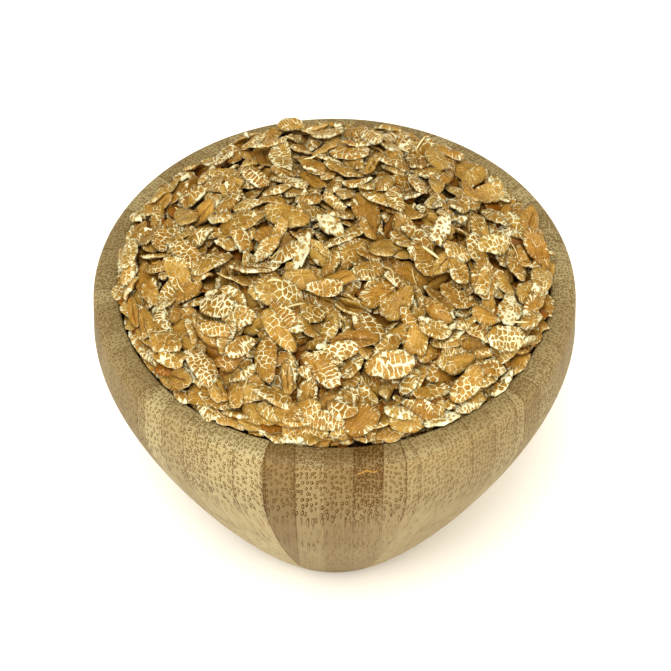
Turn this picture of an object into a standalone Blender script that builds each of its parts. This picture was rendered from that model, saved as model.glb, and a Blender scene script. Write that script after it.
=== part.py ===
"""A turned bowl of laminated bamboo, heaped with spelt flakes.

The origin is the centre of the foot, with +Z up. The bowl is one turned solid. The heap is one
solid as well: a core that fills the bowl, with the flakes that show on top fused to it.
"""

import math

import bmesh
import bpy
import numpy as np

MM = 0.001

# The bowl, outside: it is widest at its belly, a little below the rim, and tapers to its foot.
SIDES = 48
BOWL_HEIGHT = 88.0 * MM
RIM_RADIUS = 59.9 * MM
RIM_ROUND = 3.1 * MM
BELLY_RADIUS = 60.4 * MM
BELLY_DEPTH = 12.1 * MM
BELLY_HANDLE = 13.4 * MM
FOOT_RADIUS = 25.1 * MM
FOOT_HANDLE = 20.3 * MM
FOOT_FLARE = 0.73
FOOT_ROUND = 1.6 * MM

# The bowl, inside: its mouth, and the well that the flakes fill.
MOUTH_RADIUS = 53.4 * MM
LIP_ROUND = 0.9 * MM
LIP_HANDLE = 18.0 * MM
WELL_RADIUS = 25.4 * MM
WELL_HEIGHT = 12.0 * MM
WELL_HANDLE = 24.0 * MM
WELL_FLARE = 0.62
WELL_FLAT_RADIUS = 19.0 * MM
BASE_THICKNESS = 8.0 * MM

# The heap stands CROWN_RISE over the rim in the middle, and falls to the rim at the wall.
CROWN_RISE = 12.5 * MM
MOUND_POWER = 3.0
SWELL = 0.9 * MM
LOOSE_DEPTH = 6.5 * MM
WALL_GAP = 0.4 * MM
RIM_GAP = 0.3 * MM

# The flakes, as rolled grains of spelt. Shares are parts of one, and spreads are deviations.
SEED = 41
FLAKE_COUNT = 760
FLAKE_LENGTH = 9.6 * MM
LENGTH_SPREAD = 0.17
LONGEST_FLAKE = 12.8 * MM
WIDTH_SHARE = 0.6
WIDTH_SPREAD = 0.075
FLAKE_THICKNESS = 1.15 * MM
FLAKE_BEND = 0.5 * MM
FRAGMENT_SHARE = 0.14
FRAGMENT_LENGTHS = (0.38, 0.6)
OUTLINE_WAVES = (2, 3, 4)
WAVE_SPREAD = 0.055

# How they lie: a flake takes the slope of its bed with a lean of its own, and some stand steep.
BED_SLOPE = math.tan(math.radians(36.0))
LEAN_SPREAD = math.tan(math.radians(9.0))
STEEP_SHARE = 0.2
STEEP_ANGLES = (math.radians(35.0), math.radians(66.0))
SEAT_PERCENT = 90
STEEP_SEAT_PERCENT = 55
ALONG_WALL_SHARE = 0.75
AT_WALL_SHARE = 0.2
WALL_BAND = 9.0 * MM
WALL_TURN_SPREAD = math.radians(20.0)
PLACES_TRIED = 8
LEAST_DEFICIT = 0.3 * MM

# The field of heights that the flakes are laid on.
CELL = 0.5 * MM
FIELD_RADIUS = 62.0 * MM
BLUR_PASSES = 36

# The core, and the flakes that are fused to it.
CORE_RINGS = 7
CORE_SINK = 0.75 * MM
CORE_EDGE_DEPTH = 1.6 * MM
CORE_EDGE_START = 0.93
SHOWN_FLAKES = 200
EDGE_FAVOUR = 0.9
FLAKE_BITE = 0.35 * MM
BITE_PERCENT = 35
FLAKE_SIDES = 7
UNDERSIDE_SHARE = 0.8


def clear_scene():
    """Removes whatever the scene holds, so that only this part is left in it."""
    for thing in list(bpy.data.objects):
        bpy.data.objects.remove(thing, do_unlink=True)


def wood_material():
    """Pale oiled bamboo."""
    material = bpy.data.materials.new("bamboo")
    material.use_nodes = True
    shader = material.node_tree.nodes["Principled BSDF"]
    shader.inputs["Base Color"].default_value = (0.46, 0.35, 0.17, 1.0)
    shader.inputs["Roughness"].default_value = 0.55
    return material


def flake_material():
    """Golden bran of rolled spelt."""
    material = bpy.data.materials.new("spelt flakes")
    material.use_nodes = True
    shader = material.node_tree.nodes["Principled BSDF"]
    shader.inputs["Base Color"].default_value = (0.52, 0.30, 0.10, 1.0)
    shader.inputs["Roughness"].default_value = 0.6
    return material


def curve_through(start, leaving, arriving, end, steps):
    """Points of the cubic curve from start to end, led by its two handles."""
    t = np.linspace(0.0, 1.0, steps + 1)[:, None]
    points = (
        (1 - t) ** 3 * np.array(start)
        + 3 * (1 - t) ** 2 * t * np.array(leaving)
        + 3 * (1 - t) * t**2 * np.array(arriving)
        + t**3 * np.array(end)
    )
    return [tuple(point) for point in points]


def arc_points(middle, radius, start, end, steps):
    """Points of an arc about its middle, from the angle start to the angle end in degrees."""
    angles = np.radians(np.linspace(start, end, steps + 1))
    return [(middle[0] + radius * math.cos(a), middle[1] + radius * math.sin(a)) for a in angles]


def outer_profile():
    """Radius and height down the outside, from the rim's flat top to the flat of the foot."""
    rim = arc_points((RIM_RADIUS - RIM_ROUND, BOWL_HEIGHT - RIM_ROUND), RIM_ROUND, 90, 0, 4)
    belly_height = BOWL_HEIGHT - BELLY_DEPTH
    wall = curve_through(
        (BELLY_RADIUS, belly_height),
        (BELLY_RADIUS, belly_height - BELLY_HANDLE),
        (FOOT_RADIUS + FOOT_FLARE * FOOT_HANDLE, FOOT_HANDLE),
        (FOOT_RADIUS, 0.0),
        11,
    )
    # The foot's sharp corner gives way to a small round between the wall and the flat.
    foot = [
        (FOOT_RADIUS + FOOT_FLARE * FOOT_ROUND, FOOT_ROUND),
        (FOOT_RADIUS - 0.1 * FOOT_ROUND, 0.3 * FOOT_ROUND),
        (FOOT_RADIUS - FOOT_ROUND, 0.0),
    ]
    return rim + wall[:-1] + foot


def inner_profile(inset=0.0):
    """Radius and height down the inside, from the lip to the flat of the well, moved in by an inset."""
    lip_height = BOWL_HEIGHT - LIP_ROUND
    wall = curve_through(
        (MOUTH_RADIUS, lip_height),
        (MOUTH_RADIUS, lip_height - LIP_HANDLE),
        (WELL_RADIUS + WELL_FLARE * WELL_HANDLE, WELL_HEIGHT + WELL_HANDLE),
        (WELL_RADIUS, WELL_HEIGHT),
        8,
    )
    moved = [(radius - inset, height) for radius, height in wall]
    return moved + [(WELL_FLAT_RADIUS - inset, BASE_THICKNESS + inset)]


def turned_mesh(name, profile):
    """A closed mesh turned from a profile that starts and ends at the edge of a flat disc."""
    mesh = bmesh.new()
    turn = 2 * np.pi * np.arange(SIDES) / SIDES
    rings = []
    for radius, height in profile:
        points = zip(radius * np.cos(turn), radius * np.sin(turn), np.full(SIDES, height))
        rings.append([mesh.verts.new(point) for point in points])
    for upper, lower in zip(rings, rings[1:]):
        for side in range(SIDES):
            after = (side + 1) % SIDES
            mesh.faces.new((upper[after], upper[side], lower[side], lower[after]))
    mesh.faces.new(rings[0])
    mesh.faces.new(rings[-1][::-1])
    bmesh.ops.recalc_face_normals(mesh, faces=mesh.faces)
    data = bpy.data.meshes.new(name)
    mesh.to_mesh(data)
    mesh.free()
    return data


def add_object(name, data, material):
    """Links a mesh into the scene as an object with its material."""
    thing = bpy.data.objects.new(name, data)
    data.materials.append(material)
    bpy.context.scene.collection.objects.link(thing)
    return thing


def make_bowl(material):
    """The turned bowl: well, inner wall, lip, flat rim with a rounded edge, wall and flat foot."""
    lip = arc_points((MOUTH_RADIUS + LIP_ROUND, BOWL_HEIGHT - LIP_ROUND), LIP_ROUND, 180, 90, 2)
    profile = inner_profile()[::-1] + lip[1:] + outer_profile()
    thing = add_object("bowl", turned_mesh("bowl", profile), material)
    thing.data.shade_smooth()
    thing.data.set_sharp_from_angle(angle=math.radians(40))
    return thing


def mound_rise(x, y):
    """How far the heap's surface stands over the rim: a dome with a slow, uneven swell."""
    radius = np.hypot(x, y) / MOUTH_RADIUS
    dome = CROWN_RISE * (1.0 - np.minimum(radius, 1.0) ** MOUND_POWER)
    swell = np.sin(x / (9.0 * MM) + 0.7) * np.cos(y / (11.0 * MM) - 0.4)
    swell = swell + 0.6 * np.sin((x + 1.3 * y) / (6.5 * MM) + 2.1)
    return dome + SWELL * swell * (1.0 - radius**4).clip(0.0, 1.0)


class Flake:
    """One flake: half its length and width, its thickness, and how it lies once it rests.

    u runs along it, v across it and normal out of its face, and its middle is over the rim plane.
    """

    def __init__(self, draw):
        fragment = draw.random() < FRAGMENT_SHARE
        length = FLAKE_LENGTH * math.exp(draw.normal(0.0, LENGTH_SPREAD))
        if fragment:
            length = FLAKE_LENGTH * draw.uniform(*FRAGMENT_LENGTHS)
        share = WIDTH_SHARE + WIDTH_SPREAD * draw.normal() + (0.12 if fragment else 0.0)
        self.long = 0.5 * min(length, LONGEST_FLAKE)
        self.wide = self.long * min(max(share, 0.42), 0.85)
        self.thick = FLAKE_THICKNESS * draw.uniform(0.8, 1.3)
        self.bend = draw.normal(0.0, FLAKE_BEND) * (2 * self.long / FLAKE_LENGTH) ** 2
        self.steep = 0.0
        if draw.random() < STEEP_SHARE:
            self.steep = draw.uniform(*STEEP_ANGLES) * draw.choice((-1.0, 1.0))
        self.heading = draw.uniform(0.0, 2 * math.pi)
        self.along_wall = draw.random() < ALONG_WALL_SHARE
        self.at_wall = draw.random() < AT_WALL_SHARE
        self.wall_turn = draw.normal(0.0, WALL_TURN_SPREAD)
        self.waves = [
            (draw.normal(0.0, WAVE_SPREAD), draw.uniform(0.0, 2 * math.pi)) for _ in OUTLINE_WAVES
        ]
        self.lean = draw.normal(0.0, LEAN_SPREAD, 2)
        self.overhang = max(0.0, draw.normal(-0.8, 1.1)) * MM
        self.middle = np.zeros(3)

    def point_along(self, bed_slope):
        """Sets the flake's directions for a bed that has this slope in x and y."""
        ahead = np.array([math.cos(self.heading), math.sin(self.heading)])
        aside = np.array([-ahead[1], ahead[0]])
        self.slope = bed_slope + self.lean + aside * math.tan(self.steep)
        self.normal = np.array([-self.slope[0], -self.slope[1], 1.0])
        self.normal /= np.linalg.norm(self.normal)
        self.u = np.array([ahead[0], ahead[1], self.slope @ ahead])
        self.u /= np.linalg.norm(self.u)
        self.v = np.cross(self.normal, self.u)

    def outline(self, count):
        """Points round the flake's edge, in its own plane: an oval with a few slow waves."""
        angle = 2 * np.pi * np.arange(count) / count
        share = 1.0
        for wave, (size, shift) in zip(OUTLINE_WAVES, self.waves):
            share = share + size * np.cos(wave * angle + shift)
        along = self.long * share * np.cos(angle)
        across = self.wide * share * np.sin(angle)
        return self.middle + along[:, None] * self.u + across[:, None] * self.v


class HeightField:
    """The heap's surface as heights over the rim plane, on a square grid of cells."""

    def __init__(self):
        ticks = np.arange(-FIELD_RADIUS, FIELD_RADIUS + CELL / 2, CELL)
        self.x, self.y = np.meshgrid(ticks, ticks, indexing="ij")
        self.wanted = mound_rise(self.x, self.y)
        self.on_rim = np.hypot(self.x, self.y) > MOUTH_RADIUS
        self.height = np.where(self.on_rim, RIM_GAP, self.wanted - LOOSE_DEPTH)
        self.owner = np.full(self.x.shape, -1)

    def under(self, flake):
        """Where a flake lies: its window of cells, their offsets from its middle, and the share
        of the way from its middle to its edge, squared."""
        reach = 1.1 * flake.long
        low = np.floor((flake.middle[:2] - reach + FIELD_RADIUS) / CELL).astype(int)
        high = np.ceil((flake.middle[:2] + reach + FIELD_RADIUS) / CELL).astype(int) + 1
        window = slice(low[0], high[0]), slice(low[1], high[1])
        dx = self.x[window] - flake.middle[0]
        dy = self.y[window] - flake.middle[1]
        rise = flake.slope[0] * dx + flake.slope[1] * dy
        along = (dx * flake.u[0] + dy * flake.u[1] + rise * flake.u[2]) / flake.long
        across = (dx * flake.v[0] + dy * flake.v[1] + rise * flake.v[2]) / flake.wide
        return window, dx, dy, along**2 + across**2

    def deficit(self, place):
        """How far the surface at a place still lies under the wanted heap."""
        i, j = np.rint((place + FIELD_RADIUS) / CELL).astype(int)
        patch = slice(i - 2, i + 3), slice(j - 2, j + 3)
        return float((self.wanted[patch] - self.height[patch]).mean())

    def bed_slope(self, flake):
        """The slope of the surface under a flake, no steeper than flakes slide."""
        window, dx, dy, edge = self.under(flake)
        inside = edge < 1.0
        places = np.stack([dx[inside], dy[inside], np.ones(inside.sum())], axis=1)
        slope = np.linalg.lstsq(places, self.height[window][inside], rcond=None)[0][:2]
        return slope * min(1.0, BED_SLOPE / max(np.hypot(*slope), 1e-9))

    def rest(self, flake, index):
        """Lays a flake on the surface: it takes its bed's slope, and sinks in a little."""
        flake.point_along(np.zeros(2))
        flake.point_along(self.bed_slope(flake))
        window, dx, dy, edge = self.under(flake)
        inside = edge < 1.0
        rise = flake.slope[0] * dx + flake.slope[1] * dy
        clear = self.height[window][inside] - rise[inside]
        level = np.percentile(clear, STEEP_SEAT_PERCENT if flake.steep else SEAT_PERCENT)
        on_rim = self.on_rim[window][inside]
        if on_rim.any():
            level = max(level, clear[on_rim].max() + RIM_GAP + abs(flake.bend))
        half = 0.5 * flake.thick / flake.normal[2]
        flake.middle[2] = level + half
        top = flake.middle[2] + rise + half * (1.0 - edge.clip(0.0, 1.0) ** 2)
        raised = inside & (top > self.height[window])
        self.height[window] = np.where(raised, top, self.height[window])
        self.owner[window] = np.where(raised, index, self.owner[window])


def wall_limit(flake):
    """How far from the middle of the bowl a flake's edge may reach."""
    return MOUTH_RADIUS - 1.5 * WALL_GAP + flake.overhang


def choose_place(flake, draw, field):
    """Puts a flake over the lowest of some drawn places, and says how low that is.

    Near the wall most flakes turn along it, and some are laid right against it.
    """
    lowest = -1.0
    for spread, turn in draw.random((PLACES_TRIED, 2)):
        angle = 2 * math.pi * turn
        distance = MOUTH_RADIUS if flake.at_wall else MOUTH_RADIUS * math.sqrt(spread)
        heading = flake.heading
        if flake.at_wall or (flake.along_wall and distance > MOUTH_RADIUS - WALL_BAND):
            heading = angle + math.pi / 2 + flake.wall_turn
        aslant = heading - angle
        half = math.hypot(flake.long * math.cos(aslant), flake.wide * math.sin(aslant))
        probe = distance
        if distance > wall_limit(flake) - half:
            distance = wall_limit(flake) - half
            probe = distance + 0.7 * half
        toward = np.array([math.cos(angle), math.sin(angle)])
        low = 0.5 * (field.deficit(distance * toward) + field.deficit(probe * toward))
        if low > lowest:
            lowest = low
            found = (distance * toward, heading)
    flake.middle[:2], flake.heading = found
    return lowest


def pack_flakes():
    """Drops flakes one by one where the heap is still lowest, and returns them with the field."""
    draw = np.random.default_rng(SEED)
    field = HeightField()
    flakes = []
    for _ in range(FLAKE_COUNT):
        flake = Flake(draw)
        if choose_place(flake, draw, field) < LEAST_DEFICIT:
            continue
        flake.point_along(np.zeros(2))
        excess = np.hypot(*flake.outline(16)[:, :2].T).max() - wall_limit(flake)
        if excess > 0.0 or flake.at_wall:
            flake.middle[:2] *= 1.0 - excess / np.hypot(*flake.middle[:2])
        field.rest(flake, len(flakes))
        flakes.append(flake)
    return flakes, field


def smooth_rise(field):
    """The surface with its flakes blurred away, as heights over the rim plane."""
    inside = ~field.on_rim
    total = np.where(inside, field.height, 0.0)
    weight = inside.astype(float)
    for _ in range(BLUR_PASSES):
        for grid in (total, weight):
            grid[1:-1, :] = 0.25 * grid[:-2, :] + 0.5 * grid[1:-1, :] + 0.25 * grid[2:, :]
            grid[:, 1:-1] = 0.25 * grid[:, :-2] + 0.5 * grid[:, 1:-1] + 0.25 * grid[:, 2:]
    return total / np.maximum(weight, 1e-6)


def read_field(grid, x, y):
    """The value of a grid of the field's cells at a place, between its four cells."""
    i = (np.asarray(x) + FIELD_RADIUS) / CELL
    j = (np.asarray(y) + FIELD_RADIUS) / CELL
    i0 = np.floor(i).astype(int)
    j0 = np.floor(j).astype(int)
    a = i - i0
    b = j - j0
    near = grid[i0, j0] * (1 - b) + grid[i0, j0 + 1] * b
    far = grid[i0 + 1, j0] * (1 - b) + grid[i0 + 1, j0 + 1] * b
    return near * (1 - a) + far * a


def core_rise(smooth, x, y):
    """Height of the core's top over the rim plane: it stays under the flakes, and dips at the wall."""
    radius = np.hypot(x, y)
    edge = MOUTH_RADIUS - WALL_GAP
    fall = ((radius / edge - CORE_EDGE_START) / (1.0 - CORE_EDGE_START)).clip(0.0, 1.0)
    level = read_field(smooth, x, y) - CORE_SINK
    return level * (1.0 - fall**2) - CORE_EDGE_DEPTH * fall**2


def core_mesh(smooth):
    """The closed core: a domed, uneven top over an underside that follows the bowl's inside."""
    mesh = bmesh.new()
    edge = MOUTH_RADIUS - WALL_GAP
    turn = 2 * np.pi * np.arange(SIDES) / SIDES
    below = [(r, z) for r, z in inner_profile(WALL_GAP) if z < BOWL_HEIGHT - 2.0 * CORE_EDGE_DEPTH]
    rings = []
    for step in range(1, CORE_RINGS + 1):
        radius = edge * (step / CORE_RINGS) ** 0.75
        x = radius * np.cos(turn)
        y = radius * np.sin(turn)
        z = BOWL_HEIGHT + core_rise(smooth, x, y)
        rings.append([mesh.verts.new(point) for point in zip(x, y, z)])
    for radius, height in below:
        ring = zip(radius * np.cos(turn), radius * np.sin(turn), np.full(SIDES, height))
        rings.append([mesh.verts.new(point) for point in ring])
    crown = mesh.verts.new((0.0, 0.0, BOWL_HEIGHT + float(core_rise(smooth, 0.0, 0.0))))
    for side in range(SIDES):
        after = (side + 1) % SIDES
        mesh.faces.new((crown, rings[0][side], rings[0][after]))
        for upper, lower in zip(rings, rings[1:]):
            mesh.faces.new((upper[side], lower[side], lower[after]))
            mesh.faces.new((upper[side], lower[after], upper[after]))
    mesh.faces.new(rings[-1][::-1])
    bmesh.ops.recalc_face_normals(mesh, faces=mesh.faces)
    data = bpy.data.meshes.new("flakes")
    mesh.to_mesh(data)
    mesh.free()
    return data


def shown_flakes(flakes, field):
    """The flakes with the most of their face showing, those near the wall somewhat favoured."""
    owned = field.owner[field.owner >= 0]
    showing = np.bincount(owned, minlength=len(flakes)).astype(float)
    for i, flake in enumerate(flakes):
        showing[i] *= 1.0 + EDGE_FAVOUR * (np.hypot(*flake.middle[:2]) / MOUTH_RADIUS) ** 4
    order = np.argsort(-showing, kind="stable")
    return [flakes[i] for i in order[:SHOWN_FLAKES] if showing[i] > 0]


def settle_on_core(flake, smooth):
    """Lowers a flake that hangs over the core until it bites in, but not into the rim."""
    points = np.concatenate([flake.outline(12), flake.middle[None, :]])
    radius = np.hypot(points[:, 0], points[:, 1])
    bottom = points[:, 2] - 0.5 * flake.thick
    over_core = bottom - core_rise(smooth, points[:, 0], points[:, 1])
    inside = radius < MOUTH_RADIUS - 3 * MM
    drop = max(0.0, np.percentile(over_core[inside], BITE_PERCENT) + FLAKE_BITE)
    over_rim = radius > MOUTH_RADIUS - WALL_GAP
    if over_rim.any():
        drop = min(drop, max(0.0, bottom[over_rim].min() - RIM_GAP))
    flake.middle[2] -= drop


def flake_mesh(flake):
    """One flake with few sides: a flat plate whose underside is a little smaller than its top."""
    mesh = bmesh.new()
    rim_plane = np.array([0.0, 0.0, BOWL_HEIGHT])
    edge = flake.outline(FLAKE_SIDES) + rim_plane
    middle = flake.middle + rim_plane
    half = 0.5 * flake.thick * flake.normal
    upper = [mesh.verts.new(point + half) for point in edge]
    lower = [mesh.verts.new(middle + UNDERSIDE_SHARE * (point - middle) - half) for point in edge]
    mesh.faces.new(upper)
    mesh.faces.new(lower[::-1])
    for side in range(FLAKE_SIDES):
        after = (side + 1) % FLAKE_SIDES
        mesh.faces.new((upper[side], lower[side], lower[after], upper[after]))
    data = bpy.data.meshes.new("flake")
    mesh.to_mesh(data)
    mesh.free()
    return data


def shell_from(face, seen):
    """All faces that hang together with a face through their edges."""
    shell = []
    waiting = [face]
    seen.add(face)
    while waiting:
        current = waiting.pop()
        shell.append(current)
        beside = {other for edge in current.edges for other in edge.link_faces} - seen
        seen.update(beside)
        waiting.extend(beside)
    return shell


def keep_largest_shell(data):
    """Leaves only the outer shell: sealed hollows are filled, and loose scraps are dropped."""
    mesh = bmesh.new()
    mesh.from_mesh(data)
    seen = set()
    shells = [shell_from(face, seen) for face in mesh.faces if face not in seen]
    shells.sort(key=len)
    for shell in shells[:-1]:
        corners = {corner for face in shell for corner in face.verts}
        bmesh.ops.delete(mesh, geom=list(corners), context="VERTS")
    mesh.to_mesh(data)
    mesh.free()


def make_heap(material):
    """The heap: its core and the flakes that show, joined by one union."""
    flakes, field = pack_flakes()
    smooth = smooth_rise(field)
    heap = add_object("flakes", core_mesh(smooth), material)
    loose = bpy.data.collections.new("loose flakes")
    bpy.context.scene.collection.children.link(loose)
    for flake in shown_flakes(flakes, field):
        settle_on_core(flake, smooth)
        piece = bpy.data.objects.new("flake", flake_mesh(flake))
        loose.objects.link(piece)
    union = heap.modifiers.new("union", "BOOLEAN")
    union.operation = "UNION"
    union.operand_type = "COLLECTION"
    union.solver = "EXACT"
    union.collection = loose
    bpy.context.view_layer.objects.active = heap
    bpy.ops.object.modifier_apply(modifier=union.name)
    for piece in list(loose.objects):
        bpy.data.objects.remove(piece, do_unlink=True)
    bpy.data.collections.remove(loose)
    keep_largest_shell(heap.data)
    return heap


def main():
    clear_scene()
    make_bowl(wood_material())
    make_heap(flake_material())


main()
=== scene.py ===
"""The looks of a bamboo bowl heaped with spelt flakes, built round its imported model.

The file is laid out as an add-on and is run as a script. It works in metres, in the model's own
frame: the origin is the centre of the foot and +Z is up.
"""

import dataclasses
import functools
import itertools
import math

import bpy
import numpy as np
from mathutils import Euler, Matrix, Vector
from mathutils.bvhtree import BVHTree


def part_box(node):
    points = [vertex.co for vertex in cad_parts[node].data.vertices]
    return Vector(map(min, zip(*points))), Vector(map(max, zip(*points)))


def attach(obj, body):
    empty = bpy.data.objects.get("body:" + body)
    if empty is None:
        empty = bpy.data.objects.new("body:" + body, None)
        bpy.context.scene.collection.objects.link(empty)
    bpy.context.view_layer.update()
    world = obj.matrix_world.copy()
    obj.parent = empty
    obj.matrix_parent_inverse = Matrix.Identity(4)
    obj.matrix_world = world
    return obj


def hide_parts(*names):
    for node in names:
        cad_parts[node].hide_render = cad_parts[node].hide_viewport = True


bl_info = {
    "name": "Bowl of spelt flakes",
    "version": (1, 0, 0),
    "blender": (4, 5, 0),
    "location": "3D View > Sidebar > Spelt bowl",
    "description": "Builds a bamboo bowl heaped with spelt flakes, and the studio it stands in",
    "category": "Add Mesh",
}

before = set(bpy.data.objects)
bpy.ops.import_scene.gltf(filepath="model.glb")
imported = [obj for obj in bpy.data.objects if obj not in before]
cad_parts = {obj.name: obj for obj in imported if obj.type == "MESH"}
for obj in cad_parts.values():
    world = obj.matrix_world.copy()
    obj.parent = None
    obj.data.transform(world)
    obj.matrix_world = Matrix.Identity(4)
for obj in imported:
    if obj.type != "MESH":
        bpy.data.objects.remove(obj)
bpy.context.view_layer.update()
bowl_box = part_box("bowl")

MM = 0.001
DEGREE = math.radians(1.0)

# The bowl, outside, as its solid has it: widest at its belly, and tapering to its foot.
BOWL_HEIGHT = bowl_box[1].z
RIM_RADIUS = 59.9 * MM
RIM_ROUND = 3.1 * MM
BELLY_RADIUS = bowl_box[1].x
BELLY_DEPTH = 12.1 * MM
BELLY_HANDLE = 13.4 * MM
FOOT_RADIUS = 25.1 * MM
FOOT_HANDLE = 20.3 * MM
FOOT_FLARE = 0.73
FOOT_ROUND = 1.6 * MM

# The bowl, inside: its mouth, and the well that the flakes fill.
MOUTH_RADIUS = 53.4 * MM
LIP_ROUND = 0.9 * MM
LIP_HANDLE = 18.0 * MM
WELL_RADIUS = 25.4 * MM
WELL_HEIGHT = 12.0 * MM
WELL_HANDLE = 24.0 * MM
WELL_FLARE = 0.62
WELL_FLAT_RADIUS = 19.0 * MM
BASE_THICKNESS = 8.0 * MM

# The bamboo, in millimetres: staves round the bowl, each glued from upright strips whose fibres
# lean outwards. The front stave's strips start at these shares of its width, with these tones.
STAVES = 11
STRIP_WIDTH = 6.9
STRIP_SHIFT = 2.4
STRIP_STAGGER = 4.3
FIBRE_LEAN = 22.0 * DEGREE
FRONT_STRIPS = ((0.0, 0.0), (0.23, 0.28), (0.43, 0.05), (0.625, 0.14), (0.83, 0.3))
FLAT_TOP_HEIGHT = 86.7
SPLIT_PLACE = (7.7, 85.7)

# The heap stands CROWN_RISE over the rim in the middle, and falls to the rim at the wall.
CROWN_RISE = 12.5 * MM
MOUND_POWER = 3.0
SWELL = 0.9 * MM
SWELL_WAVES = (9.0 * MM, 11.0 * MM, 6.5 * MM)
LOOSE_DEPTH = 6.5 * MM
WALL_GAP = 0.4 * MM
RIM_GAP = 0.3 * MM

# The flakes, as rolled grains of spelt. Shares are parts of one, and spreads are deviations.
SEED = 41
FLAKE_COUNT = 760
FLAKE_LENGTH = 9.6 * MM
LENGTH_SPREAD = 0.17
LONGEST_FLAKE = 12.8 * MM
WIDTH_SHARE = 0.6
WIDTH_SPREAD = 0.075
WIDTH_LIMITS = (0.42, 0.85)
FLAKE_THICKNESS = 1.15 * MM
THICKNESS_SHARES = (0.8, 1.3)
FLAKE_BEND = 0.5 * MM
FRAGMENT_SHARE = 0.14
FRAGMENT_LENGTHS = (0.38, 0.6)
FRAGMENT_WIDER = 0.12
OUTLINE_WAVES = (2, 3, 4)
WAVE_SPREAD = 0.055
OUTLINE_POINTS = 16
OVERHANG = -0.8
OVERHANG_SPREAD = 1.1

# How they lie: a flake takes the slope of its bed with a lean of its own, and some stand steep.
BED_SLOPE = math.tan(36.0 * DEGREE)
LEAN_SPREAD = math.tan(9.0 * DEGREE)
STEEP_SHARE = 0.2
STEEP_ANGLES = (35.0 * DEGREE, 66.0 * DEGREE)
SEAT_PERCENT = 90
STEEP_SEAT_PERCENT = 55
ALONG_WALL_SHARE = 0.75
AT_WALL_SHARE = 0.2
WALL_BAND = 9.0 * MM
WALL_TURN_SPREAD = 20.0 * DEGREE
PLACES_TRIED = 8
LEAST_DEFICIT = 0.3 * MM

# The field of heights that the flakes are laid on.
CELL = 0.5 * MM
FIELD_RADIUS = 62.0 * MM
BLUR_PASSES = 36

# A flake's mesh: the sides of its outline, and the rings of its upper and lower face, as shares
# of the way to its edge. The flakes that lie deep and the small bits have fewer.
FULL_MESH = (24, (0.3, 0.56, 0.78, 0.93), (0.94, 0.6))
PLAIN_MESH = (12, (0.5, 0.88), (0.85,))

# A flake's edge: a squarish oval that is broken off straight at times, and notched.
OVAL_POWER = 2.2
BROKEN_SHARE = 0.35
BROKEN_AT = (0.66, 0.9)
NOTCH_SHARE = 0.26
NOTCH_DEPTHS = (0.04, 0.15)
EDGE_SPREAD = 0.016

# A flake's face, in millimetres: more bend, its cup, twist and curl, its roughness, and its
# ripples, each with its shortest and longest wave and its height.
BEND_SPREAD = 0.15
CUP = -0.4
CUP_SPREAD = 0.42
TWIST_SPREAD = 0.35
CURL_SHARE = 0.4
CURLS = (-0.5, 0.8)
FACE_SPREAD = 0.035
RIPPLES = ((2.6, 4.8, 0.1), (1.4, 2.4, 0.045))

# How a flake's pattern is turned, scaled and moved, in millimetres, and how seldom it is cracked
# far.
GRAIN_SLANT = 0.25
GRAIN_SCALES = (0.74, 1.18)
GRAIN_SHIFT = 400.0
CRACK_POWER = 1.4

# How clear of the bowl the flakes' points stay.
WALL_CLEARANCE = 0.15 * MM
RIM_CLEARANCE = 0.12 * MM
RIM_DEPTH = 0.6 * MM

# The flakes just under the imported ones, which show between them.
UNDER_FLAKES = 340
UNDER_DEPTHS = (1.8 * MM, 3.4 * MM)
UNDER_LEAN = math.tan(13.0 * DEGREE)

# The flakes set against the wall, and those that stick out over the lip.
WALL_FLAKES = 84
WALL_LEANS = (-12.0 * DEGREE, 42.0 * DEGREE)
WALL_DEPTHS = (0.3 * MM, 1.9 * MM)
SPILLED_FLAKES = 46
SPILLED_LEANS = (0.0, 13.0 * DEGREE)
SPILLED_REACH = (0.4 * MM, 2.3 * MM)
SPILLED_LIFT = 0.3 * MM

# Rows of flakes that lean on each other.
STACKS = 26
STACK_BAND = (14.0 * MM, 46.0 * MM)
STACK_TILTS = (38.0 * DEGREE, 62.0 * DEGREE)
STACK_TURN_SPREAD = 0.2
ROW_TURN_SPREAD = 0.6
ROW_HEADING_SPREAD = 0.12
ROW_LEAN_SPREAD = 0.08
STACK_STEP = 2.0 * MM
STACK_DEPTHS = (0.2 * MM, 1.0 * MM)

# The last flakes: all over the heap, over its crown at the back, and at the lip but for the back.
TOP_FLAKES = 400
TOP_SEAT_PERCENT = 87
TOP_LEAN = math.tan(5.0 * DEGREE)
TOP_RISE = 5.0 * MM
EDGE_RISE = 3.0 * MM
TOP_EDGE = 42.0 * MM
HIGHEST = 20.3 * MM
CROWN_FLAKES = 64
CROWN_HEAPED = 5.6 * MM
CROWN_MIDDLE = np.array([-1.5, 41.0]) * MM
CROWN_SPREAD = np.array([14.0, 8.0]) * MM
LIP_FLAKES = 90
LIP_BAND = 7.0 * MM
LIP_OVERHANGS = (0.3 * MM, 2.4 * MM)
LIP_SEAT_PERCENT = 74
LIP_BACK = 0.25
GOLDEN_ANGLE = math.pi * (3.0 - 5.0**0.5)

# The core under the flakes, painted near-black as the shade deep in the heap.
CORE_DEPTH = 3.6 * MM
CORE_SHOULDER = 4.0 * MM
CORE_FLAT = 0.85
CORE_SIDES = 96
CORE_RINGS = 14

# Small things: bits of bran and starch as shares of their length, crumbs, and husk slivers.
BIT_WIDTHS = (0.35, 0.8)
BIT_BEND = 0.25
BIT_LEAN = 0.22
CRUMB_SIZE = 0.45
LARGEST_CRUMB = 1.6
SLIVER_LENGTHS = (2.4, 5.4)
SLIVER_WIDTHS = (0.5, 0.95)
SLIVER_SLOPE = 0.45
SLIVER_ARCH = 0.45 * MM
SLIVER_LIFT = np.array([0.0, 0.0, 0.1 * MM])
SLIVER_STEPS = 7

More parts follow.
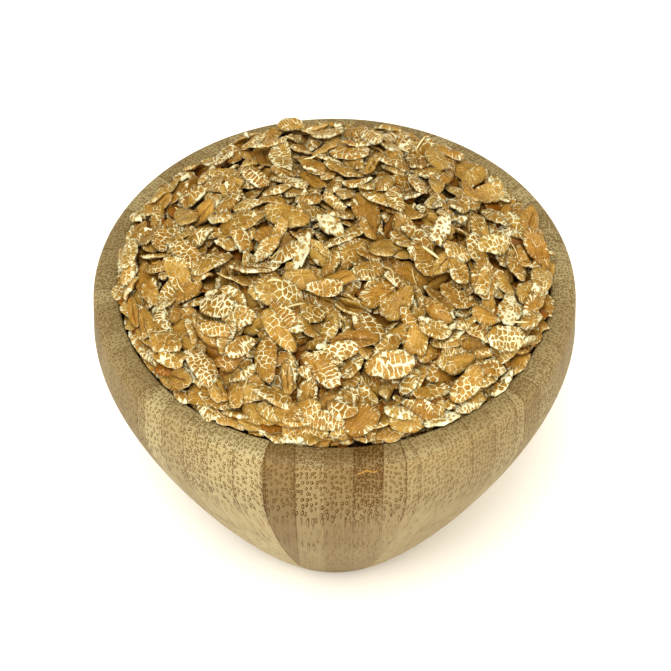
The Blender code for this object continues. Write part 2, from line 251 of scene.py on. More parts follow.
# The camera, at the photograph's angle.
CAMERA_DISTANCE = 600.0 * MM
CAMERA_ELEVATION = 46.66 * DEGREE
CAMERA_LENS = 130.16
SENSOR_WIDTH = 36.0
IMAGE_SIZE = 671
TARGET_HEIGHT = BOWL_HEIGHT + 1.9 * MM
TARGET_PIXEL = (334.2, 273.7)

TINT = {"subtype": "COLOR", "size": 3, "min": 0.0, "max": 1.0}


class BowlLooks(bpy.types.PropertyGroup):
    """Sizes and colours of the bamboo bowl."""

    sides: bpy.props.IntProperty(
        name="Sides", description="Sides of the turned bowl", default=144, min=24, max=360
    )
    pale: bpy.props.FloatVectorProperty(
        name="Pale bamboo", description="The palest strips", default=(0.437, 0.382, 0.229), **TINT
    )
    tan: bpy.props.FloatVectorProperty(
        name="Tan bamboo", description="The darkest strips", default=(0.229, 0.171, 0.083), **TINT
    )
    pore: bpy.props.FloatVectorProperty(
        name="Pores", description="Rings of the cut fibres", default=(0.094, 0.043, 0.005), **TINT
    )


class FlakeLooks(bpy.types.PropertyGroup):
    """Sizes and colours of the flakes."""

    light_bran: bpy.props.FloatVectorProperty(
        name="Light bran", description="The palest bran", default=(0.452, 0.307, 0.096), **TINT
    )
    dark_bran: bpy.props.FloatVectorProperty(
        name="Dark bran", description="The brownest bran", default=(0.268, 0.151, 0.030), **TINT
    )
    starch: bpy.props.FloatVectorProperty(
        name="Starch", description="The grain in the cracks", default=(0.70, 0.70, 0.545), **TINT
    )
    crack_cell: bpy.props.FloatProperty(
        name="Crack cell", description="Width of the islands between cracks, in millimetres",
        default=1.5, min=0.3, max=4.0,
    )
    crumbs: bpy.props.IntProperty(
        name="Crumbs", description="Crumbs strewn over the flakes", default=340, min=0, max=4000
    )
    slivers: bpy.props.IntProperty(
        name="Slivers", description="Husk slivers among the flakes", default=18, min=0, max=1000
    )


class StudioLooks(bpy.types.PropertyGroup):
    """The floor and the light."""

    floor: bpy.props.FloatVectorProperty(
        name="Floor", description="Colour of the floor", default=(0.97, 0.97, 0.97), **TINT
    )
    sky: bpy.props.FloatProperty(
        name="Sky", description="Strength of the even light all round", default=0.50, min=0.0
    )
    key: bpy.props.FloatProperty(
        name="Key light", description="Strength of the light from above", default=1.68, min=0.0
    )
    fill: bpy.props.FloatProperty(
        name="Fill light", description="Strength of the light from in front", default=1.24, min=0.0
    )


# Directions and turned pieces


def way(turn):
    """The level direction at a turn from +X."""
    return np.array([math.cos(turn), math.sin(turn)])


def left_of(ahead):
    """The level direction to the left of another."""
    return np.array([-ahead[1], ahead[0]])


def deselect_all():
    """Leaves nothing selected, so that an operator acts on the new piece alone."""
    bpy.ops.object.select_all(action="DESELECT")


def curve_through(start, leaving, arriving, end, steps):
    """Points of the cubic curve from start to end, led by its two handles."""
    t = np.linspace(0.0, 1.0, steps + 1)[:, None]
    points = (
        (1 - t) ** 3 * np.array(start)
        + 3 * (1 - t) ** 2 * t * np.array(leaving)
        + 3 * (1 - t) * t**2 * np.array(arriving)
        + t**3 * np.array(end)
    )
    return [tuple(point) for point in points]


def arc_points(middle, radius, start, end, steps):
    """Points of an arc about its middle, from the angle start to the angle end in degrees."""
    angles = np.radians(np.linspace(start, end, steps + 1))
    return [(middle[0] + radius * math.cos(a), middle[1] + radius * math.sin(a)) for a in angles]


def outer_profile():
    """Radius and height up the outside, from the flat of the foot to the rim's flat top."""
    rim = arc_points((RIM_RADIUS - RIM_ROUND, BOWL_HEIGHT - RIM_ROUND), RIM_ROUND, 0, 90, 8)
    belly_height = BOWL_HEIGHT - BELLY_DEPTH
    wall = curve_through(
        (BELLY_RADIUS, belly_height),
        (BELLY_RADIUS, belly_height - BELLY_HANDLE),
        (FOOT_RADIUS + FOOT_FLARE * FOOT_HANDLE, FOOT_HANDLE),
        (FOOT_RADIUS, 0.0),
        33,
    )
    foot = [
        (FOOT_RADIUS - FOOT_ROUND, 0.0),
        (FOOT_RADIUS - 0.1 * FOOT_ROUND, 0.3 * FOOT_ROUND),
        (FOOT_RADIUS + FOOT_FLARE * FOOT_ROUND, FOOT_ROUND),
    ]
    return foot + [point for point in wall[::-1] if point[1] > 1.5 * FOOT_ROUND] + rim


def inner_profile(inset=0.0, steps=16):
    """Radius and height down the inside, from the lip to the flat of the well, moved in."""
    lip_height = BOWL_HEIGHT - LIP_ROUND
    wall = curve_through(
        (MOUTH_RADIUS, lip_height),
        (MOUTH_RADIUS, lip_height - LIP_HANDLE),
        (WELL_RADIUS + WELL_FLARE * WELL_HANDLE, WELL_HEIGHT + WELL_HANDLE),
        (WELL_RADIUS, WELL_HEIGHT),
        steps,
    )
    moved = [(radius - inset, height) for radius, height in wall]
    return moved + [(WELL_FLAT_RADIUS - inset, BASE_THICKNESS + inset)]


def turn_up(name, profile, sides):
    """A closed turned piece: a disc at the profile's start, extruded and scaled point by point."""
    deselect_all()
    radius, height = profile[0]
    bpy.ops.mesh.primitive_circle_add(
        vertices=sides, radius=radius, fill_type="NGON", location=(0.0, 0.0, height)
    )
    piece = bpy.context.object
    piece.name = name
    bpy.ops.object.transform_apply(location=True, rotation=True, scale=True)
    bpy.ops.object.mode_set(mode="EDIT")
    bpy.ops.mesh.select_all(action="SELECT")
    for next_radius, next_height in profile[1:]:
        rise = (0.0, 0.0, next_height - height)
        bpy.ops.mesh.extrude_region_move(TRANSFORM_OT_translate={"value": rise})
        scale = next_radius / radius
        bpy.ops.transform.resize(value=(scale, scale, 1.0), center_override=(0.0, 0.0, 0.0))
        radius, height = next_radius, next_height
    bpy.ops.mesh.select_all(action="SELECT")
    bpy.ops.mesh.normals_make_consistent(inside=False)
    bpy.ops.object.mode_set(mode="OBJECT")
    bpy.ops.object.shade_smooth_by_angle(angle=40.0 * DEGREE)
    return piece


def hand_over(piece, node):
    """Puts a piece on the root body, and hides the imported solid that it stands for."""
    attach(piece, "root")
    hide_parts(node)


# The heap: how the flakes lie. The same rules and draws as in the solid that they stand for.


def mound_rise(x, y):
    """How far the heap's surface stands over the rim: a dome with a slow, uneven swell."""
    radius = np.hypot(x, y) / MOUTH_RADIUS
    dome = CROWN_RISE * (1.0 - np.minimum(radius, 1.0) ** MOUND_POWER)
    swell = np.sin(x / SWELL_WAVES[0] + 0.7) * np.cos(y / SWELL_WAVES[1] - 0.4)
    swell = swell + 0.6 * np.sin((x + 1.3 * y) / SWELL_WAVES[2] + 2.1)
    return dome + SWELL * swell * (1.0 - radius**4).clip(0.0, 1.0)


class Flake:
    """One flake: half its length and width, its thickness, and how it lies once it rests.

    u runs along it, v across it and normal out of its face, and its middle is over the rim plane.
    """

    def __init__(self, draw):
        self.fragment = draw.random() < FRAGMENT_SHARE
        length = FLAKE_LENGTH * math.exp(draw.normal(0.0, LENGTH_SPREAD))
        if self.fragment:
            length = FLAKE_LENGTH * draw.uniform(*FRAGMENT_LENGTHS)
        share = WIDTH_SHARE + WIDTH_SPREAD * draw.normal()
        share = share + (FRAGMENT_WIDER if self.fragment else 0.0)
        self.long = 0.5 * min(length, LONGEST_FLAKE)
        self.wide = self.long * np.clip(share, *WIDTH_LIMITS)
        self.thick = FLAKE_THICKNESS * draw.uniform(*THICKNESS_SHARES)
        self.bend = draw.normal(0.0, FLAKE_BEND) * (2 * self.long / FLAKE_LENGTH) ** 2
        self.steep = 0.0
        if draw.random() < STEEP_SHARE:
            self.steep = draw.uniform(*STEEP_ANGLES) * draw.choice((-1.0, 1.0))
        self.heading = draw.uniform(0.0, math.tau)
        self.along_wall = draw.random() < ALONG_WALL_SHARE
        self.at_wall = draw.random() < AT_WALL_SHARE
        self.wall_turn = draw.normal(0.0, WALL_TURN_SPREAD)
        self.waves = [
            (draw.normal(0.0, WAVE_SPREAD), draw.uniform(0.0, math.tau)) for _ in OUTLINE_WAVES
        ]
        self.lean = draw.normal(0.0, LEAN_SPREAD, 2)
        self.overhang = max(0.0, draw.normal(OVERHANG, OVERHANG_SPREAD)) * MM
        self.middle = np.zeros(3)

    def point_along(self, bed_slope=0.0):
        """Sets the flake's directions for a bed that has this slope in x and y."""
        ahead = way(self.heading)
        self.slope = bed_slope + self.lean + left_of(ahead) * math.tan(self.steep)
        self.normal = np.array([-self.slope[0], -self.slope[1], 1.0])
        self.normal /= np.linalg.norm(self.normal)
        self.u = np.array([ahead[0], ahead[1], self.slope @ ahead])
        self.u /= np.linalg.norm(self.u)
        self.v = np.cross(self.normal, self.u)

    def edge_share(self, angle):
        """The outline's radius at an angle, against a plain oval: a few slow waves."""
        share = 1.0
        for wave, (size, shift) in zip(OUTLINE_WAVES, self.waves):
            share = share + size * np.cos(wave * angle + shift)
        return share

    def outline(self):
        """Points round the flake's edge, in its own plane."""
        angle = math.tau * np.arange(OUTLINE_POINTS) / OUTLINE_POINTS
        share = self.edge_share(angle)
        along = self.long * share * np.cos(angle)
        across = self.wide * share * np.sin(angle)
        return self.middle + along[:, None] * self.u + across[:, None] * self.v


class HeightField:
    """The heap's surface as heights over the rim plane, on a square grid of cells."""

    def __init__(self):
        ticks = np.arange(-FIELD_RADIUS, FIELD_RADIUS + CELL / 2, CELL)
        self.x, self.y = np.meshgrid(ticks, ticks, indexing="ij")
        self.wanted = mound_rise(self.x, self.y)
        self.on_rim = np.hypot(self.x, self.y) > MOUTH_RADIUS
        self.height = np.where(self.on_rim, RIM_GAP, self.wanted - LOOSE_DEPTH)
        self.owner = np.full(self.x.shape, -1)

    def under(self, flake):
        """Where a flake lies: its window of cells, their offsets from its middle, the rise of
        its plane, and the share of the way from its middle to its edge, squared."""
        reach = 1.1 * flake.long
        low = np.floor((flake.middle[:2] - reach + FIELD_RADIUS) / CELL).astype(int)
        high = np.ceil((flake.middle[:2] + reach + FIELD_RADIUS) / CELL).astype(int) + 1
        window = slice(low[0], high[0]), slice(low[1], high[1])
        dx = self.x[window] - flake.middle[0]
        dy = self.y[window] - flake.middle[1]
        rise = flake.slope[0] * dx + flake.slope[1] * dy
        along = (dx * flake.u[0] + dy * flake.u[1] + rise * flake.u[2]) / flake.long
        across = (dx * flake.v[0] + dy * flake.v[1] + rise * flake.v[2]) / flake.wide
        return window, dx, dy, rise, along**2 + across**2

    def deficit(self, place):
        """How far the surface at a place still lies under the wanted heap."""
        i, j = np.rint((place + FIELD_RADIUS) / CELL).astype(int)
        patch = slice(i - 2, i + 3), slice(j - 2, j + 3)
        return float((self.wanted[patch] - self.height[patch]).mean())

    def bed_slope(self, flake):
        """The slope of the surface under a flake, no steeper than flakes slide."""
        window, dx, dy, _, edge = self.under(flake)
        inside = edge < 1.0
        places = np.stack([dx[inside], dy[inside], np.ones(inside.sum())], axis=1)
        slope = np.linalg.lstsq(places, self.height[window][inside], rcond=None)[0][:2]
        return slope * min(1.0, BED_SLOPE / max(np.hypot(*slope), 1e-9))

    def rest(self, flake, percent=SEAT_PERCENT):
        """Lays a flake on the surface: it takes its bed's slope, and sinks in a little."""
        flake.point_along()
        flake.point_along(self.bed_slope(flake))
        window, _, _, rise, edge = self.under(flake)
        inside = edge < 1.0
        clear = self.height[window][inside] - rise[inside]
        level = np.percentile(clear, STEEP_SEAT_PERCENT if flake.steep else percent)
        on_rim = self.on_rim[window][inside]
        if on_rim.any():
            level = max(level, clear[on_rim].max() + RIM_GAP + abs(flake.bend))
        flake.middle[2] = level + 0.5 * flake.thick / flake.normal[2]

    def cover(self, flake, index=-1):
        """Raises the surface to the top of a flake that lies on it."""
        window, _, _, rise, edge = self.under(flake)
        half = 0.5 * flake.thick / flake.normal[2]
        top = flake.middle[2] + rise + half * (1.0 - edge.clip(0.0, 1.0) ** 2)
        raised = (edge < 1.0) & (top > self.height[window])
        self.height[window] = np.where(raised, top, self.height[window])
        self.owner[window] = np.where(raised, index, self.owner[window])


def wall_limit(flake):
    """How far from the middle of the bowl a flake's edge may reach."""
    return MOUTH_RADIUS - 1.5 * WALL_GAP + flake.overhang


def choose_place(flake, draw, field):
    """Puts a flake over the lowest of some drawn places, and says how low that is.

    Near the wall most flakes turn along it, and some are laid right against it.
    """
    lowest = -1.0
    for spread, turn in draw.random((PLACES_TRIED, 2)):
        angle = math.tau * turn
        distance = MOUTH_RADIUS if flake.at_wall else MOUTH_RADIUS * math.sqrt(spread)
        heading = flake.heading
        if flake.at_wall or (flake.along_wall and distance > MOUTH_RADIUS - WALL_BAND):
            heading = angle + math.pi / 2 + flake.wall_turn
        aslant = heading - angle
        half = math.hypot(flake.long * math.cos(aslant), flake.wide * math.sin(aslant))
        probe = distance
        if distance > wall_limit(flake) - half:
            distance = wall_limit(flake) - half
            probe = distance + 0.7 * half
        low = 0.5 * (field.deficit(distance * way(angle)) + field.deficit(probe * way(angle)))
        if low > lowest:
            lowest = low
            found = (distance * way(angle), heading)
    flake.middle[:2], flake.heading = found
    return lowest


def lay(flake, field, percent=SEAT_PERCENT, to_wall=False):
    """Lets a flake rest, moved in where it would cross the wall, or out to the wall."""
    flake.point_along()
    excess = np.hypot(*flake.outline()[:, :2].T).max() - wall_limit(flake)
    if excess > 0.0 or to_wall:
        flake.middle[:2] *= 1.0 - excess / np.hypot(*flake.middle[:2])
    field.rest(flake, percent)


def smooth_rise(field):
    """The surface with its flakes blurred away, as heights over the rim plane."""
    inside = ~field.on_rim
    total = np.where(inside, field.height, 0.0)
    weight = inside.astype(float)
    for _ in range(BLUR_PASSES):
        for grid in (total, weight):
            grid[1:-1, :] = 0.25 * grid[:-2, :] + 0.5 * grid[1:-1, :] + 0.25 * grid[2:, :]
            grid[:, 1:-1] = 0.25 * grid[:, :-2] + 0.5 * grid[:, 1:-1] + 0.25 * grid[:, 2:]
    return total / np.maximum(weight, 1e-6)


@functools.cache
def packed_heap():
    """The flakes, dropped one by one where the heap is lowest, their field, and it smoothed."""
    draw = np.random.default_rng(SEED)
    field = HeightField()
    flakes = []
    for _ in range(FLAKE_COUNT):
        flake = Flake(draw)
        if choose_place(flake, draw, field) < LEAST_DEFICIT:
            continue
        lay(flake, field, to_wall=flake.at_wall)
        field.cover(flake, len(flakes))
        flakes.append(flake)
    return flakes, field, smooth_rise(field)


def read_field(grid, x, y):
    """The value of a grid of the field's cells at a place, between its four cells."""
    i = (np.asarray(x) + FIELD_RADIUS) / CELL
    j = (np.asarray(y) + FIELD_RADIUS) / CELL
    i0 = np.floor(i).astype(int)
    j0 = np.floor(j).astype(int)
    a = i - i0
    b = j - j0
    near = grid[i0, j0] * (1 - b) + grid[i0, j0 + 1] * b
    far = grid[i0 + 1, j0] * (1 - b) + grid[i0 + 1, j0 + 1] * b
    return near * (1 - a) + far * a


def slope_at(grid, x, y):
    """The slope of a grid of heights in x and y at a place."""
    side = 2.0 * CELL
    ahead = read_field(grid, x + side, y) - read_field(grid, x - side, y)
    aside = read_field(grid, x, y + side) - read_field(grid, x, y - side)
    return np.array([ahead, aside]) / (2 * side)


# The layers that only the visual heap has


def under_layer(smooth):
    """More flakes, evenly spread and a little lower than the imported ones, in all directions."""
    draw = np.random.default_rng(SEED + 4)
    for index in range(UNDER_FLAKES):
        flake = Flake(draw)
        distance = MOUTH_RADIUS * math.sqrt((index + 0.5) / UNDER_FLAKES)
        distance = min(distance, MOUTH_RADIUS - 0.75 * flake.long - WALL_GAP)
        x, y = distance * way(index * GOLDEN_ANGLE)
        flake.lean = draw.normal(0.0, UNDER_LEAN, 2)
        flake.steep *= 0.5
        flake.point_along(slope_at(smooth, x, y))
        flake.middle[:] = x, y, read_field(smooth, x, y) - draw.uniform(*UNDER_DEPTHS)
        yield flake


def flake_at_edge(draw, index, count, jitter, wander, leans):
    """One of a count of flakes that lie along the wall all round, and the way out to it."""
    flake = Flake(draw)
    turn = math.tau * (index + draw.uniform(-jitter, jitter)) / count
    flake.heading = turn + math.pi / 2 + draw.normal(0.0, wander)
    flake.lean = way(turn) * math.tan(draw.uniform(*leans))
    flake.steep = 0.0
    flake.point_along()
    return flake, way(turn)


def wall_layer(smooth):
    """Flakes set all round against the wall, just under the rim."""
    draw = np.random.default_rng(SEED + 8)
    for index in range(WALL_FLAKES):
        flake, outward = flake_at_edge(
            draw, index, WALL_FLAKES, jitter=0.3, wander=0.35, leans=WALL_LEANS
        )
        flake.long *= 0.85
        place = (MOUTH_RADIUS - WALL_GAP - draw.uniform(0.55, 1.0) * flake.wide) * outward
        level = min(read_field(smooth, *place), 0.0) - draw.uniform(*WALL_DEPTHS)
        flake.middle[:] = *place, level
        yield flake


def spilled_layer():
    """Flakes that stick out from under the heap's edge and lie on the lip."""
    draw = np.random.default_rng(SEED + 9)
    for index in range(SPILLED_FLAKES):
        flake, outward = flake_at_edge(
            draw, index, SPILLED_FLAKES, jitter=0.4, wander=0.5, leans=SPILLED_LEANS
        )
        flake.bend *= 0.3
        outermost = (flake.outline()[:, :2] @ outward).max()
        reach = draw.uniform(*SPILLED_REACH) * (1.0 - 0.75 * max(0.0, outward[1]))
        place = (MOUTH_RADIUS + reach - outermost) * outward
        flake.middle[:] = *place, 0.5 * flake.thick + SPILLED_LIFT
        yield flake


def leaning_stacks(field, smooth):
    """Rows of flakes that lean on each other, half sunk in the heap."""
    draw = np.random.default_rng(SEED + 6)
    for index in range(STACKS):
        share = math.sqrt((index + 0.5) / STACKS)
        distance = STACK_BAND[0] + (STACK_BAND[1] - STACK_BAND[0]) * share
        turn = index * GOLDEN_ANGLE + draw.normal(0.0, STACK_TURN_SPREAD)
        heading = turn + math.pi / 2 + draw.normal(0.0, ROW_TURN_SPREAD)
        tilt = draw.uniform(*STACK_TILTS) * draw.choice((-1.0, 1.0))
        for step in range(draw.integers(2, 5)):
            flake = Flake(draw)
            flake.heading = heading + draw.normal(0.0, ROW_HEADING_SPREAD)
            flake.steep = tilt + draw.normal(0.0, ROW_LEAN_SPREAD)
            flake.lean = draw.normal(0.0, ROW_LEAN_SPREAD, 2)
            along_row = step * STACK_STEP * left_of(way(heading))
            x, y = distance * way(turn) + along_row + draw.normal(0.0, 0.5, 2) * MM
            flake.point_along()
            if math.hypot(x, y) + flake.long > MOUTH_RADIUS:
                continue
            flake.middle[:] = x, y, read_field(smooth, x, y) - draw.uniform(*STACK_DEPTHS)
            field.cover(flake)
            yield flake


def top_layer(field, smooth):
    """Whole flakes laid last: evenly over the rest, over the heap's crown, and at the lip."""
    draw = np.random.default_rng(SEED + 7)
    for index in range(TOP_FLAKES + CROWN_FLAKES + LIP_FLAKES):
        flake = Flake(draw)
        if flake.fragment:
            continue
        outward = way(index * GOLDEN_ANGLE)
        on_crown = TOP_FLAKES <= index < TOP_FLAKES + CROWN_FLAKES
        on_lip = index >= TOP_FLAKES + CROWN_FLAKES
        if on_crown:
            share = math.sqrt((index - TOP_FLAKES + 0.5) / CROWN_FLAKES)
            place = CROWN_MIDDLE + share * CROWN_SPREAD * outward
        elif on_lip:
            flake.overhang = draw.uniform(*LIP_OVERHANGS)
            place = (MOUTH_RADIUS - draw.uniform(0.0, LIP_BAND)) * outward
            if outward[1] > LIP_BACK:
                continue
        else:
            place = MOUTH_RADIUS * math.sqrt((index + 0.5) / TOP_FLAKES) * outward
        distance = math.hypot(*place)
        flake.middle[:2] = place + draw.normal(0.0, 1.0, 2) * MM
        flake.lean = draw.normal(0.0, TOP_LEAN, 2)
        flake.steep = 0.0
        if flake.along_wall and distance > MOUTH_RADIUS - WALL_BAND:
            flake.heading = math.atan2(place[1], place[0]) + math.pi / 2 + flake.wall_turn
        lay(flake, field, LIP_SEAT_PERCENT if on_lip else TOP_SEAT_PERCENT)
        edge = flake.outline()
        rise = (edge[:, 2] - read_field(smooth, edge[:, 0], edge[:, 1])).max()
        highest = edge[:, 2].max() + 0.5 * flake.thick + abs(flake.bend)
        most = TOP_RISE if distance < TOP_EDGE or on_lip else EDGE_RISE
        if rise <= (CROWN_HEAPED if on_crown else most) and highest <= HIGHEST:
            field.cover(flake)
            yield flake


# The flakes' own shapes


def flake_template(sides, upper, lower):
    """The share of the way out, the face and the step round of a flake's vertices; its faces."""
    rings = [(share, 1.0) for share in upper] + [(1.0, 0.0)] + [(share, -1.0) for share in lower]
    shares, faced = np.array(rings).T
    share = np.concatenate([[0.0], np.repeat(shares, sides), [0.0]])
    side = np.concatenate([[1.0], np.repeat(faced, sides), [-1.0]])
    step = np.concatenate([[0], np.tile(np.arange(sides), len(rings)), [0]])
    last = len(share) - 1
    faces = []
    for i in range(sides):
        after = (i + 1) % sides
        faces.append((0, 1 + i, 1 + after))
        for inner in range(1, last - sides, sides):
            outer = inner + sides
            faces.append((inner + i, outer + i, outer + after, inner + after))
        faces.append((last, last - sides + after, last - sides + i))
    return share, side, step, faces


def ragged_edge(flake, angle, kind, draw):
    """The outline's radius at each angle, against a plain oval: broken off, notched and rough."""
    squared = np.abs(np.cos(angle)) ** OVAL_POWER + np.abs(np.sin(angle)) ** OVAL_POWER
    edge = flake.edge_share(angle) * squared ** (-1 / OVAL_POWER)
    if draw.random() < BROKEN_SHARE:
        toward = draw.choice((0.0, math.pi)) + draw.normal(0.0, 0.45)
        facing = np.cos(angle - toward)
        straight = draw.uniform(*BROKEN_AT) / np.maximum(facing, 1e-3)
        edge = np.where(facing > 0.25, np.minimum(edge, straight), edge)
    notches = draw.random(angle.size) < NOTCH_SHARE * kind.raggedness
    depth = draw.uniform(*NOTCH_DEPTHS, angle.size) * kind.raggedness
    return edge * (1.0 - notches * depth) * (1.0 + draw.normal(0.0, EDGE_SPREAD, angle.size))


def flake_surface(flake, kind, x, y, along, across, draw):
    """Heights of the flake's middle surface: bent, cupped, twisted, curled up and rippled."""
    small = min(1.0, 2.0 * flake.long / FLAKE_LENGTH)
    bend = flake.bend + draw.normal(0.0, BEND_SPREAD) * MM
    cup = draw.normal(CUP, CUP_SPREAD) * MM * small
    twist = draw.normal(0.0, TWIST_SPREAD) * MM * small
    surface = bend * (along**2 - 0.3) + cup * (across**2 - 0.3) + twist * along * across
    if draw.random() < CURL_SHARE:
        toward = way(draw.uniform(0.0, math.tau))
        facing = along * toward[0] + across * toward[1]
        surface = surface + draw.uniform(*CURLS) * MM * small * facing.clip(0.25, None) ** 3
    for shortest, longest, height in np.repeat(RIPPLES, 2, axis=0):
        wave = draw.uniform(shortest, longest) * MM
        toward = way(draw.uniform(0.0, math.pi))
        shift = draw.uniform(0.0, math.tau)
        slant = (x * toward[0] + y * toward[1]) / wave * math.tau
        surface = surface + height * MM * kind.ripple * np.sin(slant + shift)
    return surface - kind.groove_and_shade * MM * np.exp(-np.abs(across) / 0.16) * (1.0 - along**4)


def flake_points(flake, template, kind, draw):
    """The flake's vertices in metres, its places as shares of the way out, and those in mm."""
    share, side, step, _ = template
    count = step.max() + 1
    angle = math.tau * (np.arange(count) + draw.uniform(-0.3, 0.3, count)) / count
    edge = ragged_edge(flake, angle, kind, draw)
    spoke = angle[step]
    out = share * (1.0 + (edge[step] - 1.0) * share**2)
    along = out * np.cos(spoke)
    across = out * np.sin(spoke)
    x = flake.long * along
    y = flake.wide * draw.uniform(*kind.slimness) * across
    surface = flake_surface(flake, kind, x, y, along, across, draw)

    # The thickness: nearly even on the face, and thin and rounded at the edge.
    half = 0.5 * flake.thick * kind.plump * (0.5 + 0.5 * (1.0 - share**2) ** 0.6)
    rough = draw.normal(0.0, FACE_SPREAD, share.size) * MM * kind.ripple
    z = surface + side * (half + rough)
    points = (
        flake.middle + x[:, None] * flake.u + y[:, None] * flake.v + z[:, None] * flake.normal
    )
    points[:, 2] += BOWL_HEIGHT
    shape = share[:, None] * np.stack([np.cos(spoke), np.sin(spoke)], axis=1)
    return points, shape, np.stack([x, y], axis=1) / MM


def keep_clear(points):
    """Moves points that would cross the bowl: inwards at its wall, and up over its rim."""
    radius = np.hypot(points[:, 0], points[:, 1])
    inside = np.array(inner_profile()[::-1])
    limit = np.interp(points[:, 2], inside[:, 1], inside[:, 0]) - WALL_CLEARANCE
    over_rim = points[:, 2] > BOWL_HEIGHT - RIM_DEPTH
    lifted = over_rim & (radius > MOUTH_RADIUS - 0.1 * MM)
    points[lifted, 2] = np.maximum(points[lifted, 2], BOWL_HEIGHT + RIM_CLEARANCE)
    pushed = ~over_rim & (radius > limit)
    points[pushed, :2] *= (limit[pushed] / radius[pushed])[:, None]
    return points


@dataclasses.dataclass(eq=False)
class FlakeKind:
    """A kind of flake: its shares of the whole flakes and of the fragments, its finish, how far
    it cracks, and the way its shape differs. A net is the stretch of the crack cells along the
    flake, how much of the net shows, and how much of the fringe."""

    name: str
    finish: str
    shares: tuple
    cracks: tuple
    net: tuple = ()
    raggedness: float = 1.0
    slimness: tuple = (0.82, 1.02)
    ripple: float = 1.0
    plump: float = 1.0
    groove_and_shade: float = 0.0

    def draw_cracks(self, draw):
        """How far one flake is cracked: most a little, and some heavily."""
        return self.cracks[0] + (self.cracks[1] - self.cracks[0]) * draw.random() ** CRACK_POWER


FLAKE_KINDS = (
    FlakeKind(
        "netted_flakes", "netted bran", (0.34, 0.26), (0.35, 1.2), (0.84, 0.84, 0.5),
        raggedness=0.9,
    ),
    FlakeKind(
        "banded_flakes", "banded bran", (0.26, 0.20), (0.35, 1.25), (0.58, 0.86, 0.7),
        slimness=(0.76, 1.0),
    ),
    FlakeKind(
        "smooth_flakes", "smooth bran", (0.24, 0.20), (0.4, 1.1), (0.9, 0.46, 0.95),
        raggedness=0.7, ripple=1.1,
    ),
    FlakeKind(
        "creased_flakes", "creased bran", (0.12, 0.14), (0.2, 0.9), (1.7, 0.55, 0.4),
        ripple=0.9, plump=1.25, groove_and_shade=0.6, slimness=(0.68, 0.9),
    ),
    FlakeKind(
        "starchy_flakes", "broken grain", (0.04, 0.20), (0.8, 1.2), (1.1, 1.9, 1.0),
        raggedness=1.8, ripple=1.8, plump=1.2,
    ),
)

# Small things among the flakes: how many, and how long and how thick in millimetres.
BIT_KINDS = (
    (FlakeKind("bran_bits", "smooth bran", (), (0.1, 0.9), raggedness=1.6, ripple=0.6),
     70, (1.2, 3.0), (0.35, 0.75)),
    (FlakeKind("starch_lumps", "broken grain", (), (1.0, 1.3), raggedness=2.4, ripple=2.2,
               plump=1.3), 18, (1.6, 4.0), (0.6, 1.3)),
)


def choose_kind(flake, draw):
    """Draws the kind of a flake, by the kinds' shares among whole flakes or among fragments."""
    shares = [kind.shares[int(flake.fragment)] for kind in FLAKE_KINDS]
    return FLAKE_KINDS[draw.choice(len(FLAKE_KINDS), p=shares)]


def place_grain(grain, draw):
    """A flake's places in mm, turned, scaled and moved, so that no two flakes crack alike."""
    ahead = way(draw.normal(0.0, GRAIN_SLANT))
    turned = np.stack([grain @ (ahead * (1.0, -1.0)), grain @ ahead[::-1]], axis=1)
    return turned * draw.uniform(*GRAIN_SCALES) + draw.uniform(0.0, GRAIN_SHIFT, 2)


class Joined:
    """Collects the meshes of many small things of the heap, to be added as one piece."""

    def __init__(self):
        self.points = []
        self.faces = []
        self.count = 0
        self.layers = {}

    def add(self, points, faces, **values):
        """Adds one thing, with a value for the whole of it or a place for each vertex."""
        self.points.append(points)
        self.faces.extend(tuple(self.count + corner for corner in face) for face in faces)
        self.count += len(points)
        for name, value in values.items():
            each = np.broadcast_to(value, (len(points),)) if np.ndim(value) == 0 else value
            self.layers.setdefault(name, []).append(each)

    def build(self, name, material):
        """Adds the piece, shaded smooth, with its places as UV maps and values as attributes."""
        data = bpy.data.meshes.new(name)
        data.from_pydata(np.concatenate(self.points), [], self.faces)
        data.shade_smooth()
        data.materials.append(material)
        corners = np.zeros(len(data.loops), dtype=np.int32)
        data.loops.foreach_get("vertex_index", corners)
        for layer, parts in self.layers.items():
            values = np.concatenate(parts).astype(np.float32)
            if values.ndim == 2:
                data.uv_layers.new(name=layer).data.foreach_set("uv", values[corners].ravel())
            else:
                data.attributes.new(layer, "FLOAT", "POINT").data.foreach_set("value", values)
        piece = bpy.data.objects.new(name, data)
        bpy.context.scene.collection.objects.link(piece)
        hand_over(piece, "flakes")
        return piece


# Materials


def feed(socket, value):
    """Links a wire to a socket, or sets the socket's own value. One number is a grey colour."""
    if isinstance(value, Wire):
        value.recipe.tree.links.new(value.socket, socket)
        return
    if socket.type == "RGBA":
        value = (*np.broadcast_to(value, 3), 1.0)
    socket.default_value = value


def calculate(operation, *values):
    """The wire from a Math node, or from a Vector Math node where a wire carries a vector."""
    wires = [value for value in values if isinstance(value, Wire)]
    kind = "Math" if all(wire.socket.type == "VALUE" for wire in wires) else "VectorMath"
    output = "Value" if operation == "LENGTH" else 0
    return wires[0].recipe.wire(kind, values, output, operation=operation)


def calculation(operation):
    """A method of a wire, which does this operation on it and the values it is given."""
    return lambda wire, *others: calculate(operation, wire, *others)


